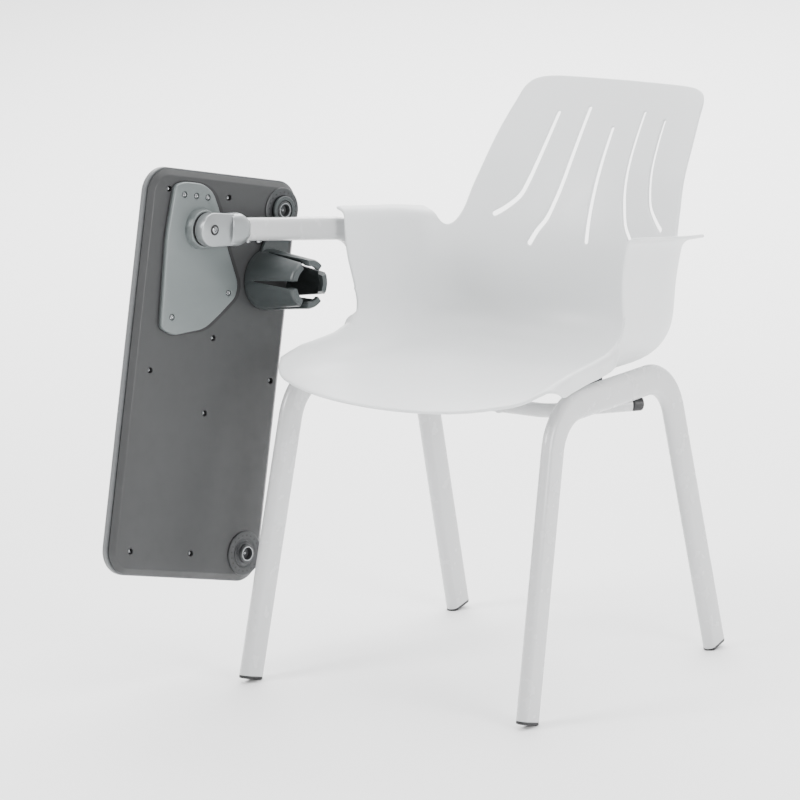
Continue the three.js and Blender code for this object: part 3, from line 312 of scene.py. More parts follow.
def oval(width, height, sides=12):
    """Flat oval section, longer along its second axis."""
    r = width / 2
    straight = height / 2 - r
    t = np.linspace(0, math.pi, sides + 1)
    top = np.stack([r * np.cos(t), straight + r * np.sin(t)], 1)
    return np.vstack([top, -top])


def round_rect(x0, y0, x1, y1, radius, steps=12):
    corners = [(x1 - radius, y0 + radius, -90), (x1 - radius, y1 - radius, 0),
               (x0 + radius, y1 - radius, 90), (x0 + radius, y0 + radius, 180)]
    points = []
    for x, y, start in corners:
        for t in np.radians(np.linspace(start, start + 90, steps + 1)):
            points.append((x + radius * math.cos(t), y + radius * math.sin(t)))
    return np.array(points)


def bent_path(corners, radius, steps=16):
    """Middle line of a bent tube: its points and tangents."""
    corners = [np.array(c, float) for c in corners]
    points, tangents = [], []
    for i, here in enumerate(corners):
        before = (here - corners[i - 1]) if i else None
        after = (corners[i + 1] - here) if i < len(corners) - 1 else None
        before = before / np.linalg.norm(before) if before is not None else None
        after = after / np.linalg.norm(after) if after is not None else None
        if before is None or after is None:
            points.append(here)
            tangents.append(after if before is None else before)
            continue
        turn = math.acos(float(np.clip(before @ after, -1, 1)))
        start = here - before * radius * math.tan(turn / 2)
        inward = after - before * (after @ before)
        inward /= np.linalg.norm(inward)
        for t in np.linspace(0, turn, steps + 1):
            points.append(start + before * radius * math.sin(t) + inward * radius * (1 - math.cos(t)))
            tangents.append(before * math.cos(t) + inward * math.sin(t))
    return np.array(points), np.array(tangents)


def sweep(path, across, section):
    """Rings of a planar bent tube: across is normal to its plane, section is (across, in-plane)."""
    points, tangents = path
    across = np.array(across, float) / np.linalg.norm(across)
    rings = []
    for point, tangent in zip(points, tangents):
        inner = np.cross(tangent, across)
        inner /= np.linalg.norm(inner)
        rings.append(point + np.outer(section[:, 0], across) + np.outer(section[:, 1], inner))
    return rings


def fill(loops, z=0.0):
    """Triangles of a flat region: the first loop is its outside, the others are holes."""
    coords, edges, start = [], [], 0
    for loop in loops:
        n = len(loop)
        coords += [Vector((float(x), float(y))) for x, y in loop]
        edges += [(start + i, start + (i + 1) % n) for i in range(n)]
        start += n
    verts, _, faces, _, _, _ = delaunay_2d_cdt(coords, edges, [], 1, 1e-6)
    flat = np.array([(v.x, v.y) for v in verts])
    keep = []
    for face in faces:
        middle = flat[list(face)].mean(0)
        if inside(middle[None], loops[0])[0] and not any(inside(middle[None], h)[0] for h in loops[1:]):
            keep.append(list(face))
    return np.column_stack([flat, np.full(len(flat), z)]), keep


def inside(points, loop):
    """Even-odd test of many points against one loop."""
    x, y = points[:, 0][:, None], points[:, 1][:, None]
    a = np.asarray(loop, float)
    b = np.roll(a, -1, axis=0)
    crosses = (a[:, 1] > y) != (b[:, 1] > y)
    with np.errstate(divide="ignore", invalid="ignore"):
        at = (b[:, 0] - a[:, 0]) * (y - a[:, 1]) / (b[:, 1] - a[:, 1]) + a[:, 0]
    return (crosses & (x < at)).sum(1) % 2 == 1


def at_height(loop, z):
    return np.column_stack([loop, np.full(len(loop), float(z))])


# ------------------------------------------------------------------ seat shell surface

HALF_WIDTH, BACK_Y, BACK_R, CORNER_R = 238.0, 277.0, 328.0, 150.0
FILLET_L = 128.0
FLOOR_Z, DISH = 443.0, 0.0005
SHELL_T = 5.0
LEAN, LEAN_Z = 0.00046, 540.0
FLARE, FLARE_DEPTH = 0.13, 187.0
NOSE, NOSE_Y, NOSE_DEPTH = 6.0, -130.0, 125.0
RAKE_Z, RAKE, RAKE_FADE = 560.0, 0.00245, 0.0000022
LIP_R, LIP_ANGLE, LIP_FROM = 12.0, math.radians(80), 221.8
SKIRT_R, SKIRT_HANG, SKIRT_STRAIGHT = 7.0, math.radians(80), 18.0
SKIRT_FROM = np.array([(416, 112), (430, 91), (446, 80), (483, 72), (560, 64), (596, 56),
                       (615, 50), (630, 46), (660, 30)], float)

CORNER_X = HALF_WIDTH - CORNER_R
SPREAD = BACK_R - CORNER_R
PLAN_ANGLE = math.asin(CORNER_X / SPREAD)
BACK_CENTRE = BACK_Y - BACK_R
CORNER_Y = BACK_CENTRE + SPREAD * math.cos(PLAN_ANGLE)
CORNER_START = BACK_R * PLAN_ANGLE
ARM_START = CORNER_START + CORNER_R * (math.pi / 2 - PLAN_ANGLE)


def fillet_slope(s):
    t = np.clip(s / FILLET_L, 0, 1)
    return math.pi / 2 * (3 * t * t - 2 * t ** 3)


FILLET_S = np.linspace(0, FILLET_L, 513)
_mid = fillet_slope((FILLET_S[1:] + FILLET_S[:-1]) / 2)
FILLET_OUT = np.concatenate([[0], np.cumsum(np.cos(_mid)) * FILLET_L / 512])
FILLET_UP = np.concatenate([[0], np.cumsum(np.sin(_mid)) * FILLET_L / 512])
REACH = FILLET_OUT[-1]
FLOOR_SIDE, FLOOR_CORNER, FLOOR_BACK = HALF_WIDTH - REACH, CORNER_R - REACH, BACK_R - REACH


def fillet(s):
    out = np.interp(s, FILLET_S, FILLET_OUT)
    up = np.interp(s, FILLET_S, FILLET_UP) + np.maximum(s - FILLET_L, 0)
    return out, up


def smoothstep(x, low, high):
    t = np.clip((x - low) / (high - low), 0, 1)
    return t * t * (3 - 2 * t)


def lip_start(c):
    return 215 + 0.1335 * (c - 248)


def lip_edge(c):
    flat = 10 + 10 * np.exp(-np.maximum(c - 248, 0) / 45)
    return lip_start(c) + LIP_R * LIP_ANGLE + flat


def skirt_at(c):
    share = smoothstep(c, 418, 450) * (1 - smoothstep(c, 575, 645))
    start = np.interp(c, SKIRT_FROM[:, 0], SKIRT_FROM[:, 1])
    slope = fillet_slope(start)
    turn = (slope + SKIRT_HANG) * share
    return start, slope, turn, SKIRT_R * turn + SKIRT_STRAIGHT * share * share


def wall(c, s):
    """Outward reach and height of the shell's wall, s along it from the edge of the flat floor."""
    out, up = fillet(s)
    start = lip_start(c)
    past = np.maximum(s - start, 0)
    lip = (c > LIP_FROM) & (c <= 470) & (past > 0)
    out0, up0 = fillet(start)
    turn = np.minimum(past / LIP_R, LIP_ANGLE)
    flat = np.maximum(past - LIP_R * LIP_ANGLE, 0)
    out = np.where(lip, out0 + LIP_R * (1 - np.cos(turn)) + flat * math.sin(LIP_ANGLE), out)
    up = np.where(lip, up0 + LIP_R * np.sin(turn) + flat * math.cos(LIP_ANGLE), up)
    start, slope, full, _ = skirt_at(c)
    past = np.maximum(s - start, 0)
    skirt = (c > SKIRT_FROM[0, 0]) & (s < 135) & (past > 0) & (full > 1e-6)
    end = slope - np.minimum(past / SKIRT_R, full)
    straight = np.maximum(past - SKIRT_R * full, 0)
    out0, up0 = fillet(start)
    out = np.where(skirt, out0 + SKIRT_R * (np.sin(slope) - np.sin(end)) + straight * np.cos(end), out)
    up = np.where(skirt, up0 + SKIRT_R * (np.cos(end) - np.cos(slope)) + straight * np.sin(end), up)
    return out, up


def wall_place(p, q):
    """Which wall a blank point is on: outward direction, c along it and s up it."""
    a = np.abs(p)
    corner_angle = np.arctan2(a - CORNER_X, q - CORNER_Y)
    back_angle = np.arctan2(a, q - BACK_CENTRE)
    behind = q >= CORNER_Y
    corner = behind & (a > CORNER_X) & (corner_angle > PLAN_ANGLE)
    back = behind & ~corner
    angle = np.where(corner, corner_angle, np.where(back, back_angle, math.pi / 2))
    nx, ny = np.sin(angle), np.where(behind, np.cos(angle), 0.0)
    s = np.where(corner, np.hypot(a - CORNER_X, q - CORNER_Y) - FLOOR_CORNER,
                 np.where(back, np.hypot(a, q - BACK_CENTRE) - FLOOR_BACK, a - FLOOR_SIDE))
    c = np.where(corner, CORNER_START + CORNER_R * (corner_angle - PLAN_ANGLE),
                 np.where(back, BACK_R * back_angle, ARM_START + CORNER_Y - q))
    return nx, ny, c, np.maximum(s, 0)


def shell_points(pq):
    p, q = np.asarray(pq, float)[:, 0], np.asarray(pq, float)[:, 1]
    side = np.where(p < 0, -1.0, 1.0)
    nx, ny, c, s = wall_place(p, q)
    out, up = wall(c, s)
    foot_x, foot_y = np.abs(p) - nx * s, q - ny * s
    x, y = foot_x + nx * out, foot_y + ny * out
    hollow = DISH + 4.8e-7 * np.maximum(-q, 0)
    nose = np.maximum((NOSE_Y - y) / NOSE_DEPTH, 0)
    across = foot_x + nx * np.minimum(out, REACH) * 0.6
    z = FLOOR_Z + hollow * across ** 2 - NOSE * nose ** 2 + up
    rise = np.maximum(z - RAKE_Z, 0)
    y = y + rise * rise * (RAKE - RAKE_FADE * rise)
    y = y - 6 * smoothstep(z, 640, 720) * (1 - np.exp(-(x / 70) ** 2))
    x = x * (1 + LEAN * (z - LEAN_Z)) * (1 + FLARE * (np.maximum(-y, 0) / FLARE_DEPTH) ** 2)
    return np.stack([side * x, y, z], 1)


def shell_frame(pq):
    """Surface points, the two blank derivatives and the unit normal."""
    pq = np.asarray(pq, float)
    step = 0.4
    du = (shell_points(pq + [step, 0]) - shell_points(pq - [step, 0])) / (2 * step)
    dv = (shell_points(pq + [0, step]) - shell_points(pq - [0, step])) / (2 * step)
    normal = np.cross(du, dv)
    normal /= np.linalg.norm(normal, axis=1)[:, None]
    return shell_points(pq), du, dv, normal


def blank(c, s, side=1):
    """Blank position of a place on the wall."""
    c, s = np.broadcast_arrays(np.asarray(c, float), np.asarray(s, float))
    back = c < CORNER_START
    corner = ~back & (c < ARM_START)
    angle = np.where(back, c / BACK_R, PLAN_ANGLE + (c - CORNER_START) / CORNER_R)
    r = np.where(back, FLOOR_BACK + s, FLOOR_CORNER + s)
    centre_x = np.where(back, 0, CORNER_X)
    centre_y = np.where(back, BACK_CENTRE, CORNER_Y)
    arm = ~back & ~corner
    p = np.where(arm, FLOOR_SIDE + s, centre_x + r * np.sin(angle))
    q = np.where(arm, CORNER_Y + ARM_START - c, centre_y + r * np.cos(angle))
    return np.stack([side * p, q], -1)


# ------------------------------------------------------------------ seat shell mesh

BACK_TOP = [(0, 434), (50, 433.5), (86, 432.6), (108, 431.2), (127, 428), (140, 422),
            (148, 412), (154, 391), (165, 350), (176.5, 300), (187, 265), (197, 232), (207, 216),
            (214, 211), (LIP_FROM, 209.8), (231, 215), (239, 228)]
LIP_LINE = [247, 258, 275, 300, 330, 370, 410, 434]
ARM_FRONT = [(445, 265), (448.5, 257), (446, 240), (441, 217), (433, 186), (424, 156),
             (419, 130), (418.5, 116)]
SKIRT_LINE = [424, 431, 438, 446, 460, 483, 525, 560, 580, 600, 615]
SEAT_Y, SEAT_DEPTH, SEAT_HALF, SEAT_POWER, SEAT_FROM = -128.6, 124.2, 238.7, 2 / 3.4, 24
SLOTS = [
    [(87, 382), (91, 348), (97.5, 310), (106, 280), (114.5, 261), (136, 240), (149, 231)],
    [(44.5, 392), (46, 358), (48.2, 325), (52.5, 290), (59, 262), (69.5, 232), (82, 214), (93, 194)],
    [(0, 367), (0, 300), (0, 205)],
]
SLOT_HALF = (2.3, 3.3)       # at the top and at the bottom
OUTLINE_STEP, SLOT_STEP = 3.2, 5.0
COARSE_STEP, FINE_STEP = 7.0, 3.4
RIM_CLEAR = 2.0              # between the rim's points and the inner ones
PARTS = 40                   # the tests on many points run in this many parts
SMOOTH_RIM = math.radians(60)


def spline(points, spacing):
    """Centripetal Catmull-Rom curve, evenly spaced."""
    pts = np.array(points, float)
    pts = np.vstack([2 * pts[0] - pts[1], pts, 2 * pts[-1] - pts[-2]])
    dense = []
    for p0, p1, p2, p3 in zip(pts, pts[1:], pts[2:], pts[3:]):
        t0 = 0.0
        t1 = t0 + np.linalg.norm(p1 - p0) ** 0.5
        t2 = t1 + np.linalg.norm(p2 - p1) ** 0.5
        t3 = t2 + np.linalg.norm(p3 - p2) ** 0.5
        t = np.linspace(t1, t2, 24, endpoint=False)[:, None]
        a1 = (t1 - t) / (t1 - t0) * p0 + (t - t0) / (t1 - t0) * p1
        a2 = (t2 - t) / (t2 - t1) * p1 + (t - t1) / (t2 - t1) * p2
        a3 = (t3 - t) / (t3 - t2) * p2 + (t - t2) / (t3 - t2) * p3
        b1 = (t2 - t) / (t2 - t0) * a1 + (t - t0) / (t2 - t0) * a2
        b2 = (t3 - t) / (t3 - t1) * a2 + (t - t1) / (t3 - t1) * a3
        dense.append((t2 - t) / (t2 - t1) * b1 + (t - t1) / (t2 - t1) * b2)
    dense = np.vstack(dense + [pts[-2:-1]])
    return respace(dense, spacing)


def respace(points, spacing):
    gaps = np.linalg.norm(np.diff(points, axis=0), axis=1)
    along = np.concatenate([[0], np.cumsum(gaps)])
    want = np.linspace(0, along[-1], max(int(round(along[-1] / spacing)), 2) + 1)
    return np.stack([np.interp(want, along, points[:, k]) for k in range(points.shape[1])], 1)


def seat_front(spacing):
    """Blank points of the seat's front edge, from its side to the middle."""
    t = np.radians(np.linspace(SEAT_FROM, 90, 400))
    x = SEAT_HALF * np.cos(t) ** SEAT_POWER
    y = SEAT_Y - SEAT_DEPTH * np.sin(t) ** SEAT_POWER
    low, high = np.zeros(len(t)), np.full(len(t), FLOOR_SIDE + FILLET_L)
    for _ in range(40):
        middle = (low + high) / 2
        short = shell_points(np.stack([middle, y], 1))[:, 0] < x
        low, high = np.where(short, middle, low), np.where(short, high, middle)
    low[-1] = 0
    return respace(np.stack([low, y], 1), spacing)


def shell_outline(spacing):
    lip = [(c, float(lip_edge(c))) for c in LIP_LINE]
    skirt = [(c, float(skirt_at(c)[0] + skirt_at(c)[3])) for c in SKIRT_LINE]
    wall_line = spline([*BACK_TOP, *lip, *ARM_FRONT, *skirt], spacing)
    right = np.vstack([blank(wall_line[:, 0], wall_line[:, 1]), seat_front(spacing)[1:]])
    left = right[1:-1][::-1] * [-1, 1]
    return np.vstack([right, left])


def slot_loop(points, side, spacing):
    """Closed outline of a slot with round ends."""
    line = spline(points, spacing)
    tangent = np.gradient(line, axis=0)
    tangent /= np.linalg.norm(tangent, axis=1)[:, None]
    normal = np.stack([-tangent[:, 1], tangent[:, 0]], 1)
    half = np.linspace(*SLOT_HALF, len(line))[:, None]
    cap = np.radians(np.arange(20, 180, 20))

    def end(centre, first, forward, radius):
        return [centre + radius * (math.cos(t) * first + math.sin(t) * forward) for t in cap]

    loop = [*(line + normal * half), *end(line[-1], normal[-1], tangent[-1], half[-1]),
            *(line - normal * half)[::-1], *end(line[0], -normal[0], -tangent[0], half[0])]
    loop = np.array(loop)
    mirrored = blank(np.abs(loop[:, 0]), loop[:, 1])
    return mirrored * np.stack([np.where(loop[:, 0] < 0, -side, side), np.ones(len(loop))], 1)


def inset_loop(loop, distance, sign):
    """Moves a blank loop sideways by a true distance on the surface."""
    points, du, dv, normal = shell_frame(loop)
    tangent = np.roll(points, -1, axis=0) - np.roll(points, 1, axis=0)
    tangent /= np.linalg.norm(tangent, axis=1)[:, None]
    inward = sign * np.cross(normal, tangent)
    guu, guv, gvv = (du * du).sum(1), (du * dv).sum(1), (dv * dv).sum(1)
    bu, bv = (inward * du).sum(1), (inward * dv).sum(1)
    det = guu * gvv - guv * guv
    shift = np.stack([(gvv * bu - guv * bv) / det, (guu * bv - guv * bu) / det], 1)
    return loop + shift * distance


def area(loop):
    x, y = loop[:, 0], loop[:, 1]
    return 0.5 * float(np.sum(x * np.roll(y, -1) - np.roll(x, -1) * y))


def seat_shell():
    """Two faces either side of the middle surface, joined by rounded rims."""
    outline = shell_outline(OUTLINE_STEP)
    slots = []
    for points in SLOTS:
        for side in ((1, -1) if points[0][0] else (1,)):
            slots.append(slot_loop(points, side, SLOT_STEP))
    half = SHELL_T / 2
    turns = np.radians([0, 25, 50, 72, 90])
    rims = []
    for loop, is_hole in [(outline, False)] + [(loop, True) for loop in slots]:
        sign = (1 if area(loop) > 0 else -1) * (-1 if is_hole else 1)
        rims.append([inset_loop(loop, half * (1 - math.cos(t)), sign) for t in turns])
    edge = [rim[-1] for rim in rims]
    # Inner points: a coarse grid, finer over the lip and the skirt.
    grids = []
    for step, fine in ((COARSE_STEP, False), (FINE_STEP, True)):
        x, y = np.meshgrid(np.arange(-470, 470, step) + step / 3, np.arange(-262, 650, step))
        grid = np.stack([x.ravel(), y.ravel()], 1)
        _, _, c, s = wall_place(grid[:, 0], grid[:, 1])
        start, _, full, _ = skirt_at(c)
        curled = ((c > LIP_FROM) & (c < 470) & (s > lip_start(c) - 6) & (s > 150))
        curled |= (c > 416) & (full > 0.05) & (s > start - 5) & (s < 140)
        grids.append(grid[curled == fine])
    grid = np.vstack(grids)
    grid = grid[inside(grid, edge[0])]
    for loop in edge[1:]:
        grid = grid[~inside(grid, loop)]
    rim_points = np.vstack(edge)
    keep = np.ones(len(grid), bool)
    for chunk in np.array_split(np.arange(len(grid)), PARTS):
        gap = np.linalg.norm(grid[chunk][:, None] - rim_points[None], axis=2).min(1)
        keep[chunk] = gap > RIM_CLEAR
    grid = grid[keep]
    coords = [Vector((float(x), float(y))) for x, y in np.vstack([rim_points, grid])]
    edges, start = [], 0
    for loop in edge:
        n = len(loop)
        edges += [(start + i, start + (i + 1) % n) for i in range(n)]
        start += n
    verts, _, faces, _, _, _ = delaunay_2d_cdt(coords, edges, [], 0, 1e-7)
    flat = np.array([(v.x, v.y) for v in verts])
    triangles = np.array([f for f in faces if len(f) == 3])
    middles = flat[triangles].mean(1)
    good = np.zeros(len(middles), bool)
    for chunk in np.array_split(np.arange(len(middles)), PARTS):
        ok = inside(middles[chunk], edge[0])
        for loop in edge[1:]:
            ok &= ~inside(middles[chunk], loop)
        good[chunk] = ok
    triangles = triangles[good]
    middle, _, _, normal = shell_frame(flat)
    upper, lower = middle + normal * half, middle - normal * half
    parts = [(upper, triangles.tolist()), (lower, triangles[:, ::-1].tolist())]
    for rim in rims:
        frames = [shell_frame(loop) for loop in rim]
        for way in (1, -1):
            rings = [point + way * half * math.sin(t) * norm
                     for (point, _, _, norm), t in zip(frames, turns)]
            parts.append(loft(rings, closed_ends=False))
    points, faces = merge(*parts)
    return piece("shell_moulding", points, faces, "shell", "root", ["seat_shell"], sharp=SMOOTH_RIM)


# ------------------------------------------------------------------ side frames and feet

TUBE_W, TUBE_D = 45.0, 20.0
RAIL_Z, KNEE_Y, FOOT_Y, BEND_R = 440.5, 152.8, 262.6, 74.0
PLANE_X, TOE, FRAME_LEAN = 241.0, -0.0235, -0.031
FOOT_RISE, CAP_T = 3.6, 4.6
LEG_SLOPE = (FOOT_Y - KNEE_Y) / RAIL_Z
LEG_ANGLE = math.atan(LEG_SLOPE)


def lean_frame(points, side):
    points = np.array(points, float)
    points[:, 0] = side * (PLANE_X + TOE * points[:, 1] + FRAME_LEAN * points[:, 2] + points[:, 0])
    return points


def side_frame(word, side):
    end_z = FOOT_RISE + CAP_T * math.cos(LEG_ANGLE) + 0.3
    end_y = FOOT_Y - LEG_SLOPE * FOOT_RISE - CAP_T * math.sin(LEG_ANGLE)
    corners = [(0, -end_y, end_z), (0, -KNEE_Y, RAIL_Z), (0, KNEE_Y, RAIL_Z), (0, end_y, end_z)]
    path = bent_path(corners, BEND_R, 28)
    rings = sweep(path, (1, 0, 0), oval(TUBE_D, TUBE_W, 16))
    inner = sweep(path, (1, 0, 0), oval(TUBE_D - 1.2, TUBE_W - 1.2, 16))
    length = path[1]
    rings = [inner[0] - length[0] * 0.5, *rings, inner[-1] + length[-1] * 0.5]
    points, faces = loft(rings)
    piece(f"side_tube_{word}", lean_frame(points, side), faces, "frame", "root", [f"side_frame_{word}"])
    for end, front in (("front", -1), ("rear", 1)):
        layers = [(1.9, 0.0), (0.9, 0.35), (0.3, 1.0), (0.0, 2.0), (0.0, CAP_T - 0.5), (0.5, CAP_T)]
        rings = [at_height(oval(TUBE_D - 2 * inset, TUBE_W - 2 * inset, 16), height)
                 for inset, height in layers]
        points, faces = loft(rings)
        c, s = math.cos(front * LEG_ANGLE), math.sin(front * LEG_ANGLE)
        y, z = points[:, 1] * c - points[:, 2] * s, points[:, 1] * s + points[:, 2] * c
        foot_y = front * (FOOT_Y - LEG_SLOPE * FOOT_RISE)
        points = np.stack([points[:, 0], y + foot_y, z + FOOT_RISE], 1)
        points[:, 2] = np.maximum(points[:, 2], 0.0)
        piece(f"foot_tip_{end}_{word}", lean_frame(points, side), faces, "black", "root",
              [f"foot_cap_{end}_{word}"])


# ------------------------------------------------------------------ support bar

BAR_R, BAR_Z, BAR_Y, BAR_CORNER_X = 10.65, 407.0, -27.0, 133.0
BAR_END = np.array([221.0, 90.0, BAR_Z])
BAR_BEND, PLUG_L = 40.0, 18.0


def support_bar():
    corner = np.array([BAR_CORNER_X, BAR_Y, BAR_Z])
    along = (BAR_END - corner) / np.linalg.norm(BAR_END - corner)
    end = BAR_END - along * (PLUG_L + 0.3)
    flip = np.array([-1, 1, 1])
    path = bent_path([end * flip, corner * flip, corner, end], BAR_BEND, 18)
    t = np.linspace(0, 2 * math.pi, 33)[:-1]
    section = np.stack([BAR_R * np.cos(t), BAR_R * np.sin(t)], 1)
    points, faces = loft(sweep(path, (0, 0, 1), section))
    piece("support_tube", points, faces, "frame", "root", ["support_bar"])
    profile = [(6.9, -12), (6.9, 0.3), (BAR_R - 2.2, 0.3), (BAR_R + 0.3, 2.6),
               (BAR_R + 0.3, PLUG_L - 2.6), (BAR_R - 2.4, PLUG_L), (0, PLUG_L)]
    points, faces = lathe([(0, -12)] + rounded(profile, 0.8), 32)
    start = BAR_END - along * PLUG_L
    side = np.cross((0, 0, 1), along)
    placed = start + points @ np.array([side, (0, 0, 1), along])
    for word, mirror in (("left", 1), ("right", -1)):
        piece(f"bar_plug_{word}", placed * [mirror, 1, 1], faces, "black", "root",
              [f"support_bar_plug_{word}"])


def seat_screws():
    """Low heads under the bar, painted with it, in place of the frame's plain ones."""
    for i in range(1, 5):
        low, high = (np.array(corner, float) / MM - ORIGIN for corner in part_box(f"seat_screw_{i}"))
        x, y = (low[:2] + high[:2]) / 2
        bar_low = BAR_Z - BAR_R
        profile = [(0, high[2]), (2.8, high[2]), (2.8, bar_low + 1.5), (5.4, bar_low + 1.5),
                   (5.2, bar_low - 0.2), (3.6, bar_low - 0.9), (0, bar_low - 1.0)]
        points, faces = lathe(profile, 24, (x, y))
        piece(f"seat_fixing_{i}", points, faces, "frame", "root", [f"seat_screw_{i}"])


# ------------------------------------------------------------------ tablet arm

ARM_H, ARM_D, ARM_CORNER, ARM_BEND = 35.0, 20.0, 300.0, 52.0
ARM_FOOT = np.array([-249.5, 76.0, 436.0])
BALL_X, BALL_R = 51.0, 25.0  # middle of the knuckle's dome, along the tube
SEAT_R = BALL_R + 1.5        # hollow in the tube's end
TUBE_FROM = 80.0             # where the tube has its full section


def arm_tube():
    corner = PIVOT + ARM_AXIS * ARM_CORNER
    down = ARM_FOOT - corner
    down /= np.linalg.norm(down)
    path = bent_path([PIVOT + ARM_AXIS * TUBE_FROM, corner, ARM_FOOT + down * 30], ARM_BEND, 28)
    across = np.cross(ARM_AXIS, down)
    section = oval(ARM_D, ARM_H, 16)
    rings = sweep(path, across, section)
    # The open end is cut to a hollow that seats the knuckle's ball.
    reach = BALL_X + np.sqrt(SEAT_R ** 2 - (section ** 2).sum(1))
    start = rings[0] + np.outer(reach - TUBE_FROM, ARM_AXIS)
    flat_axis = across / np.linalg.norm(across)
    high_axis = np.cross(ARM_AXIS, flat_axis)
    hollow = []
    for share in (0.66, 0.33, 0.02):
        small = section * share
        depth = BALL_X + np.sqrt(SEAT_R ** 2 - (small ** 2).sum(1))
        middle = PIVOT + np.outer(depth, ARM_AXIS)
        hollow.append(middle + np.outer(small[:, 0], flat_axis) + np.outer(small[:, 1], high_axis))
    points, faces = loft([hollow[2], hollow[1], hollow[0], start, *rings])
    piece("arm_oval_tube", points, faces, "frame", "root", ["tablet_arm_tube"])


def screw_head(radius, height, drive, sides=24):
    """Dome head with a socket, standing on z = 0 and facing +z, with a stub of shank."""
    profile = [(0, -3), (radius * 0.45, -3), (radius * 0.45, 0), (radius, 0),
               (radius * 0.97, height * 0.35),
               (radius * 0.8, height * 0.8), (drive + 0.5, height), (drive, height - 0.2),
               (drive * 0.9, height * 0.35), (0, height * 0.3)]
    return lathe(profile, sides)


DISC_R, DISC_BACK, DISC_FRONT, DISC_EDGE = 25.0, -4.4, 12.5, 1.8
NECK_END, NECK_HALF = 38, 23.6
DOME_FRONT, DOME_BACK, DOME_SIDES = 17.0, 15.0, 80


def knuckle():
    """Flat body round the pivot bolt, and a rounded dome that seats in the tube's end."""
    turn = np.radians(np.linspace(90, 270, 41))
    back, front, edge = DISC_BACK, DISC_FRONT, DISC_EDGE
    rings = []
    for z, inset in [(back, edge), (back + 0.5, 0.6), (back + edge, 0.0), (front - edge, 0.0),
                     (front - 1.0, 0.25), (front - 0.45, 0.75), (front, edge)]:
        arc = [(DISC_R - inset) * np.array([math.cos(t), math.sin(t)]) for t in turn]
        side = [(NECK_END, -(NECK_HALF - inset)), (NECK_END, NECK_HALF - inset)]
        rings.append(at_height(np.vstack([arc, side]), z))
    body = loft(rings)
    profile = [(33.4, 0.02), (33.4, 22.6), (33.8, 23.6), (34.9, 24.3), (42, 24.7)]
    profile += [(BALL_X + BALL_R * math.sin(t), max(BALL_R * math.cos(t), 0.02))
                for t in np.radians(np.linspace(0, 90, 25))]
    rings = []
    for x, r in profile:
        ring = circle(r, 0, DOME_SIDES)
        across, high = ring[:, 0], ring[:, 1] / BALL_R
        depth = np.where(high > 0, DOME_FRONT, DOME_BACK) * np.sin(np.clip(high, -1, 1) * math.pi / 2)
        rings.append(np.stack([np.full(DOME_SIDES, x), across, depth], 1))
    head = loft(rings)
    points, faces = merge(body, head)
    piece("knuckle_casting", on_arm(points), faces, "casting", "knuckle", ["knuckle"],
          sharp=math.radians(40))


ARM_SCREW_X = (79.5, 101.0)


def arm_fittings():
    profile = [(6, -6.7), (25.5, -6.7), (25.5, -4.7), (6, -4.7), (6, -6.7)]
    points, faces = loft([circle(r, z, 64) for r, z in profile], closed_ends=False)
    piece("pivot_washer_disc", on_arm(points), faces, "black", "knuckle", ["pivot_washer"])
    profile = [(5.2, 11.0), (8.0, 11.0), (8.0, 12.9), (7.6, 13.2), (6.0, 13.2), (5.2, 12.8),
               (5.2, 11.0)]
    points, faces = loft([circle(r, z, 40) for r, z in profile], closed_ends=False)
    piece("pivot_ring_rubber", on_arm(points), faces, "black", "knuckle", ["pivot_ring"])
    profile = [(0, -24.8), (5, -24.8), (5, 12.4), (4.7, 13.6), (3.6, 14.1), (2.6, 14.1),
               (2.4, 12.6), (0, 12.4)]
    points, faces = lathe(profile, 40)
    piece("pivot_bolt_turned", on_arm(points), faces, "steel", "knuckle", ["pivot_bolt"])
    for i, x in enumerate(ARM_SCREW_X):
        points, faces = screw_head(4.6, 3.2, 1.9)
        points = np.stack([points[:, 0] + x, -points[:, 2] - ARM_H / 2 - 0.1, points[:, 1]], 1)
        piece(f"arm_screw_{i + 1}", on_arm(points), faces, "steel", "root",
              [f"arm_insert_screw_{i + 1}"])


# ------------------------------------------------------------------ hinge plate

PLATE_OUTLINE = [(-57.6, 59.4), (-38.5, 66), (-1.5, 66), (19.5, 56), (38, 27.7),
                 (59.8, -22.6), (89.4, -74), (88, -95), (53, -129), (31, -147), (-31, -161), (-55, -151),
                 (-57, -138), (-63.4, -16)]
PLATE_SCREWS = [(-38, 47), (-14, 47), (9, 46.6), (71, -90), (-37, -134)]


def rounded_polygon(corners, reach, steps=8):
    points = [np.array(c, float) for c in corners]
    out = []
    for i, here in enumerate(points):
        before, after = points[i - 1] - here, points[(i + 1) % len(points)] - here
        cut = min(reach, np.linalg.norm(before) * 0.45, np.linalg.norm(after) * 0.45)
        start = here + before / np.linalg.norm(before) * cut
        end = here + after / np.linalg.norm(after) * cut
        for t in np.linspace(0, 1, steps + 1):
            out.append((1 - t) ** 2 * start + 2 * t * (1 - t) * here + t * t * end)
    return np.array(out)


def inset_polygon(loop, distance):
    """Moves each point of a smooth loop inward."""
    tangent = np.roll(loop, -1, axis=0) - np.roll(loop, 1, axis=0)
    tangent /= np.linalg.norm(tangent, axis=1)[:, None] + 1e-9
    inward = np.stack([-tangent[:, 1], tangent[:, 0]], 1) * (1 if area(loop) > 0 else -1)
    return loop + inward * distance


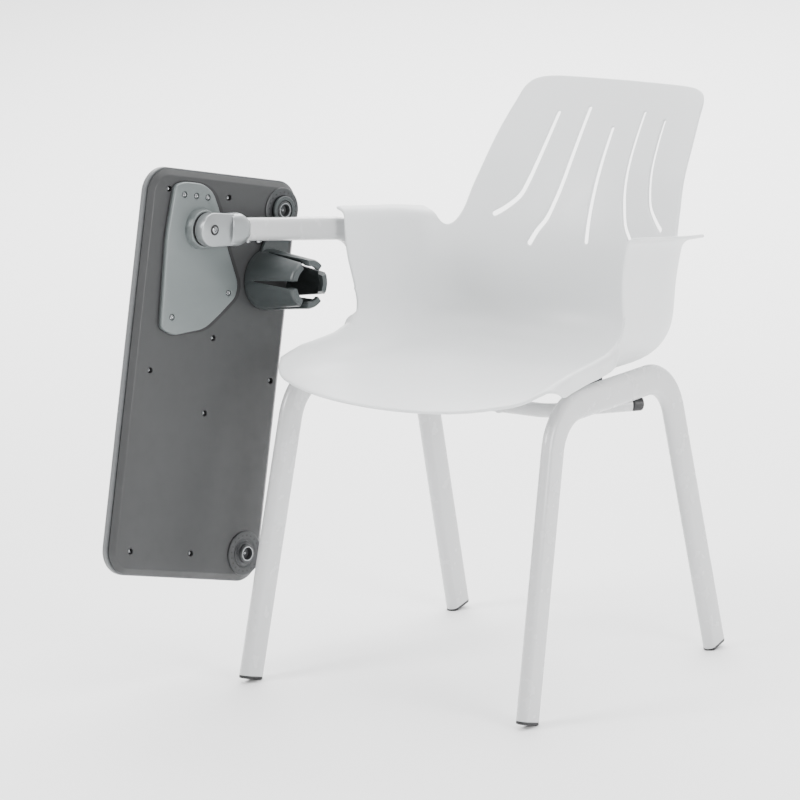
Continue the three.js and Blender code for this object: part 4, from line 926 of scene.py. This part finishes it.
def drilled_plate(loop, layers, holes, sink):
    """A plate whose edge follows (inset, height) layers, with blind round recesses in its face."""
    rings = [at_height(inset_polygon(loop, inset), z) for inset, z in layers]
    sides, side_faces = loft(rings, closed_ends=False)
    top_z = layers[-1][1]
    hole_loops = [circle(r, 0, 24, centre)[:, :2] for centre, r in holes]
    face = fill([rings[-1][:, :2], *hole_loops], top_z)
    base = fill([rings[0][:, :2]], layers[0][1])
    parts = [(sides, side_faces), face, base]
    for (centre, r) in holes:
        parts.append(loft([circle(r, top_z, 24, centre), circle(r, top_z - sink, 24, centre)],
                          closed_ends=False))
        parts.append(fill([circle(r, 0, 24, centre)[:, :2]], top_z - sink))
    return merge(*parts)


def hinge_plate():
    loop = rounded_polygon(PLATE_OUTLINE, 14)
    if area(loop) < 0:
        loop = loop[::-1]
    layers = [(0, -25.7), (0, -21.8), (0.45, -20.6), (1.3, -19.6), (2.8, -19.0)]
    plate = drilled_plate(loop, layers, [(at, 5.2) for at in PLATE_SCREWS], 2.6)
    boss = lathe(rounded([(0, -20.5), (30.8, -20.5), (30.2, -18.2), (27.6, -7), (0, -7)], 2.0, 4), 72)
    points, faces = merge(plate, boss)
    piece("hinge_plate_cast", on_tablet(points), faces, "plate", "tablet", ["hinge_plate"],
          sharp=CRISP)
    # A thin black sheet, wider on one side, is painted shade: it stands for the shadow in the groove beside the
    # plate.
    pad = inset_polygon(loop, -1.8)
    pad[:, 0] += 9.5 * smoothstep(pad[:, 0], -45, 25)
    points, faces = loft([at_height(pad, z) for z in (-25.95, -25.6)])
    piece("hinge_plate_groove_shade", on_tablet(points), faces, "black", "tablet")
    for i, (a, b) in enumerate(PLATE_SCREWS):
        points, faces = screw_head(3.8, 2.2, 1.9)
        piece(f"plate_screw_{i + 1}", on_tablet(points + [a, b, -21.5]), faces, "steel", "tablet",
              [f"hinge_plate_screw_{i + 1}"])


# ------------------------------------------------------------------ tablet

TAB = {"left": -100.5, "right": 204.2, "bottom": -517.0, "top": 83.0, "corner": 38.0,
       "under": -26.0, "seam": -34.3, "face": -46.0}
COVER_SCREWS = [(-63, 53), (58, 50), (57, -159), (-62, -214.5), (183, -215), (56, -271),
                (-62, -482), (59, -480), (180, -477.5)]


def tablet_loop(inset):
    return round_rect(TAB["left"] + inset, TAB["bottom"] + inset, TAB["right"] - inset,
                      TAB["top"] - inset, TAB["corner"] - inset, 14)


def tablet():
    seam = TAB["seam"]
    layers = [(1.9, seam + 0.8), (1.4, seam + 1.2), (1.4, seam + 1.9), (8.8, TAB["under"] - 0.9),
              (9.8, TAB["under"] - 0.25), (11.0, TAB["under"])]
    rings = [at_height(tablet_loop(inset), z) for inset, z in layers]
    holes = [circle(5.0, 0, 24, at)[:, :2] for at in COVER_SCREWS]
    parts = [loft(rings, closed_ends=False), fill([rings[-1][:, :2], *holes], TAB["under"]),
             fill([rings[0][:, :2]], layers[0][1])]
    for at in COVER_SCREWS:
        rim = [circle(r, z, 24, at) for r, z in ((5.0, TAB["under"]), (4.6, TAB["under"] - 0.4),
                                                (4.4, TAB["under"] - 6.5))]
        parts.append(loft(rim, closed_ends=False))
        parts.append(fill([circle(4.4, 0, 24, at)[:, :2]], TAB["under"] - 6.5))
    points, faces = merge(*parts)
    piece("tablet_underside", on_tablet(points), faces, "cover", "tablet", ["tablet_cover"],
          sharp=CRISP)
    face = TAB["face"]
    layers = [(3.4, face - 0.8), (1.2, face - 0.2), (-0.6, face + 1.2), (-1.4, face + 3.0),
              (-1.4, seam - 1.9), (-0.8, seam - 1.1), (0.4, seam - 0.9)]
    rings = [at_height(tablet_loop(inset), z) for inset, z in layers]
    points, faces = loft(rings)
    piece("tablet_worktop", on_tablet(points), faces, "top", "tablet", ["tablet_top"], sharp=CRISP)
    points, faces = loft([at_height(tablet_loop(2.2), z) for z in (seam - 1.2, seam + 1.2)])
    piece("tablet_seam_strip", on_tablet(points), faces, "black", "tablet", ["tablet_seal"])
    for i, (a, b) in enumerate(COVER_SCREWS):
        points, faces = screw_head(3.2, 2.2, 1.6)
        placed = on_tablet(points + [a, b, TAB["under"] - 6.4])
        piece(f"tablet_screw_{i + 1}", placed, faces, "steel", "tablet", [f"cover_screw_{i + 1}"])


DIAL_A, DIAL_TOP, DIAL_BOTTOM = 167.0, 41.0, -475.0
DOTS, DOT_CIRCLE = 20, 27


def dials():
    face = TAB["under"]
    for word, b in (("upper", DIAL_TOP), ("lower", DIAL_BOTTOM)):
        profile = rounded([(0, face - 0.5), (33.5, face - 0.5), (33.3, face + 1.6), (31.8, face + 2.2),
                           (22, face + 2.2), (20.6, face + 0.9), (18.2, face + 0.9), (17.0, face + 2.6),
                           (14.4, face + 3.4), (13.8, face + 7.4), (12.8, face + 8.2), (9.6, face + 8.2),
                           (8.8, face + 7.4), (8.4, face + 0.3), (0, face + 0.3)], 0.5, 2)
        points, faces = lathe(profile, 72, (DIAL_A, b))
        piece(f"dial_disc_{word}", on_tablet(points), faces, "dial", "tablet", [f"dial_{word}"],
              sharp=CRISP)
        # The black dots are painted shade: flat black discs stand for the shadow inside a ring of small holes in
        # the dial.
        dots = []
        dot = [(0, face + 1.9), (1.3, face + 1.9), (1.3, face + 2.26), (0, face + 2.26)]
        for k in range(DOTS):
            t = 2 * math.pi * k / DOTS
            centre = (DIAL_A + DOT_CIRCLE * math.cos(t), b + DOT_CIRCLE * math.sin(t))
            dots.append(lathe(dot, 12, centre))
        ring = [(9.7, face + 7.8), (10.9, face + 7.8), (10.9, face + 8.5), (9.7, face + 8.5),
                (9.7, face + 7.8)]
        points, faces = loft([circle(r, z, 56, (DIAL_A, b)) for r, z in ring], closed_ends=False)
        piece(f"dial_ring_{word}", on_tablet(points), faces, "steel", "tablet")
        points, faces = merge(*dots)
        piece(f"dial_hole_shade_{word}", on_tablet(points), faces, "black", "tablet")
        points, faces = screw_head(2.8, 1.6, 1.4)
        piece(f"dial_cap_{word}", on_tablet(points + [DIAL_A, b, face + 0.35]), faces, "steel", "tablet",
              [f"dial_screw_{word}"])


# ------------------------------------------------------------------ cup holder

CUP = {"a": 151.0, "b": -64.0, "collar": 46.0, "tip": 37.0, "wall": 3.6, "base": -25.0, "end": 69.0,
       "fingers": 5, "first": 7.0, "slit_base": -8.0, "slit": 13.0}


def cup_radius(n):
    """Outer radius of the tapered wall at height n."""
    t = np.clip((n - (CUP["base"] + 9)) / (CUP["end"] - CUP["base"] - 9), 0, 1)
    return CUP["collar"] + (CUP["tip"] - CUP["collar"]) * t ** 0.9


def cup_finger(centre_angle):
    """One sprung finger with a hooked tip pad, as a closed grid."""
    base, end, slit_base = CUP["base"], CUP["end"], CUP["slit_base"]
    heights = np.concatenate([np.linspace(base + 6, end - 3, 34), [end - 1, end]])
    across = np.linspace(-1, 1, 17)
    outer, inner = [], []
    half_pitch = math.pi / CUP["fingers"]
    for n in heights:
        r = float(cup_radius(n))
        share = max((n - slit_base) / (end - slit_base), 0)
        slit = 1.0 + (CUP["slit"] - 1.0) * share if n > slit_base else 0.0
        half = half_pitch - math.asin(slit / 2 / r) + (0.002 if slit == 0 else 0)
        tip = max((n - (end - 3)) / 3, 0)
        half *= 1 - 0.08 * tip
        r_out = r - 1.6 * tip
        hook = smoothstep(np.array([n]), end - 15, end - 9)[0] * 7.0
        angles = centre_angle + half * across
        side_round = 0.7 * np.abs(across) ** 12
        r_in = r - CUP["wall"] - hook + side_round * (slit > 0)
        for ring, radius in ((outer, r_out - side_round), (inner, r_in)):
            ring.append(np.stack([CUP["a"] + radius * np.cos(angles),
                                  CUP["b"] + radius * np.sin(angles), np.full(17, n)], 1))
    rings = [np.vstack([o, i[::-1]]) for o, i in zip(outer, inner)]
    return loft(rings)


def cup_holder():
    base = CUP["base"]
    collar = loft([circle(r, z, 96, (CUP["a"], CUP["b"])) for r, z in (
        (42, base), (45.2, base), (46, base + 0.8), (46, base + 6), (45.4, base + 9),
        (42.4, base + 9), (42, base + 8.4), (42, base))], closed_ends=False)
    fingers = [cup_finger(math.radians(CUP["first"] + 72 * i)) for i in range(CUP["fingers"])]
    low = TAB["under"] + 3.4
    eye = loft([circle(r, z, 64, (DIAL_A, DIAL_TOP)) for r, z in (
        (15.2, low), (20.4, low), (21.2, low + 0.8), (21.2, low + 3.6), (20.4, low + 4.4),
        (15.2, low + 4.4),
        (15.2, low))], closed_ends=False)
    a, b = CUP["a"], CUP["b"]
    corners = [(DIAL_A - 17, DIAL_TOP - 8), (a - 24, b + 36), (a - 10, b + 43.4),
               (a + 14, b + 43.0), (a + 28, b + 35), (DIAL_A + 18, DIAL_TOP - 9),
               (DIAL_A + 8, DIAL_TOP - 17), (DIAL_A - 6, DIAL_TOP - 17.4)]
    link_loop = rounded_polygon(corners, 4, 4)
    link = loft([at_height(link_loop, z) for z in (low, low + 4.4)])
    points, faces = merge(collar, *fingers, eye, link)
    piece("cup_basket", on_tablet(points), faces, "cup", "cup_holder", ["cup_holder"],
          sharp=math.radians(35))


# ------------------------------------------------------------------ carried-over pieces

def finish_cad_nodes():
    """The pieces kept from the frame take the finish of their slot."""
    slots = {row["node"]: row["material_slot"] for row in frame["record"]["subparts"]}
    for name, made in frame["nodes"].items():
        finish = MATERIALS[slots[name]]
        if not made.data.materials:
            made.data.materials.append(finish)
        for i in range(len(made.data.materials)):
            made.data.materials[i] = finish


make_camera()
make_world()
make_lights()
make_floor()
finish_cad_nodes()
seat_shell()
for word, side in (("left", 1), ("right", -1)):
    side_frame(word, side)
support_bar()
seat_screws()
arm_tube()
knuckle()
arm_fittings()
hinge_plate()
tablet()
dials()
cup_holder()
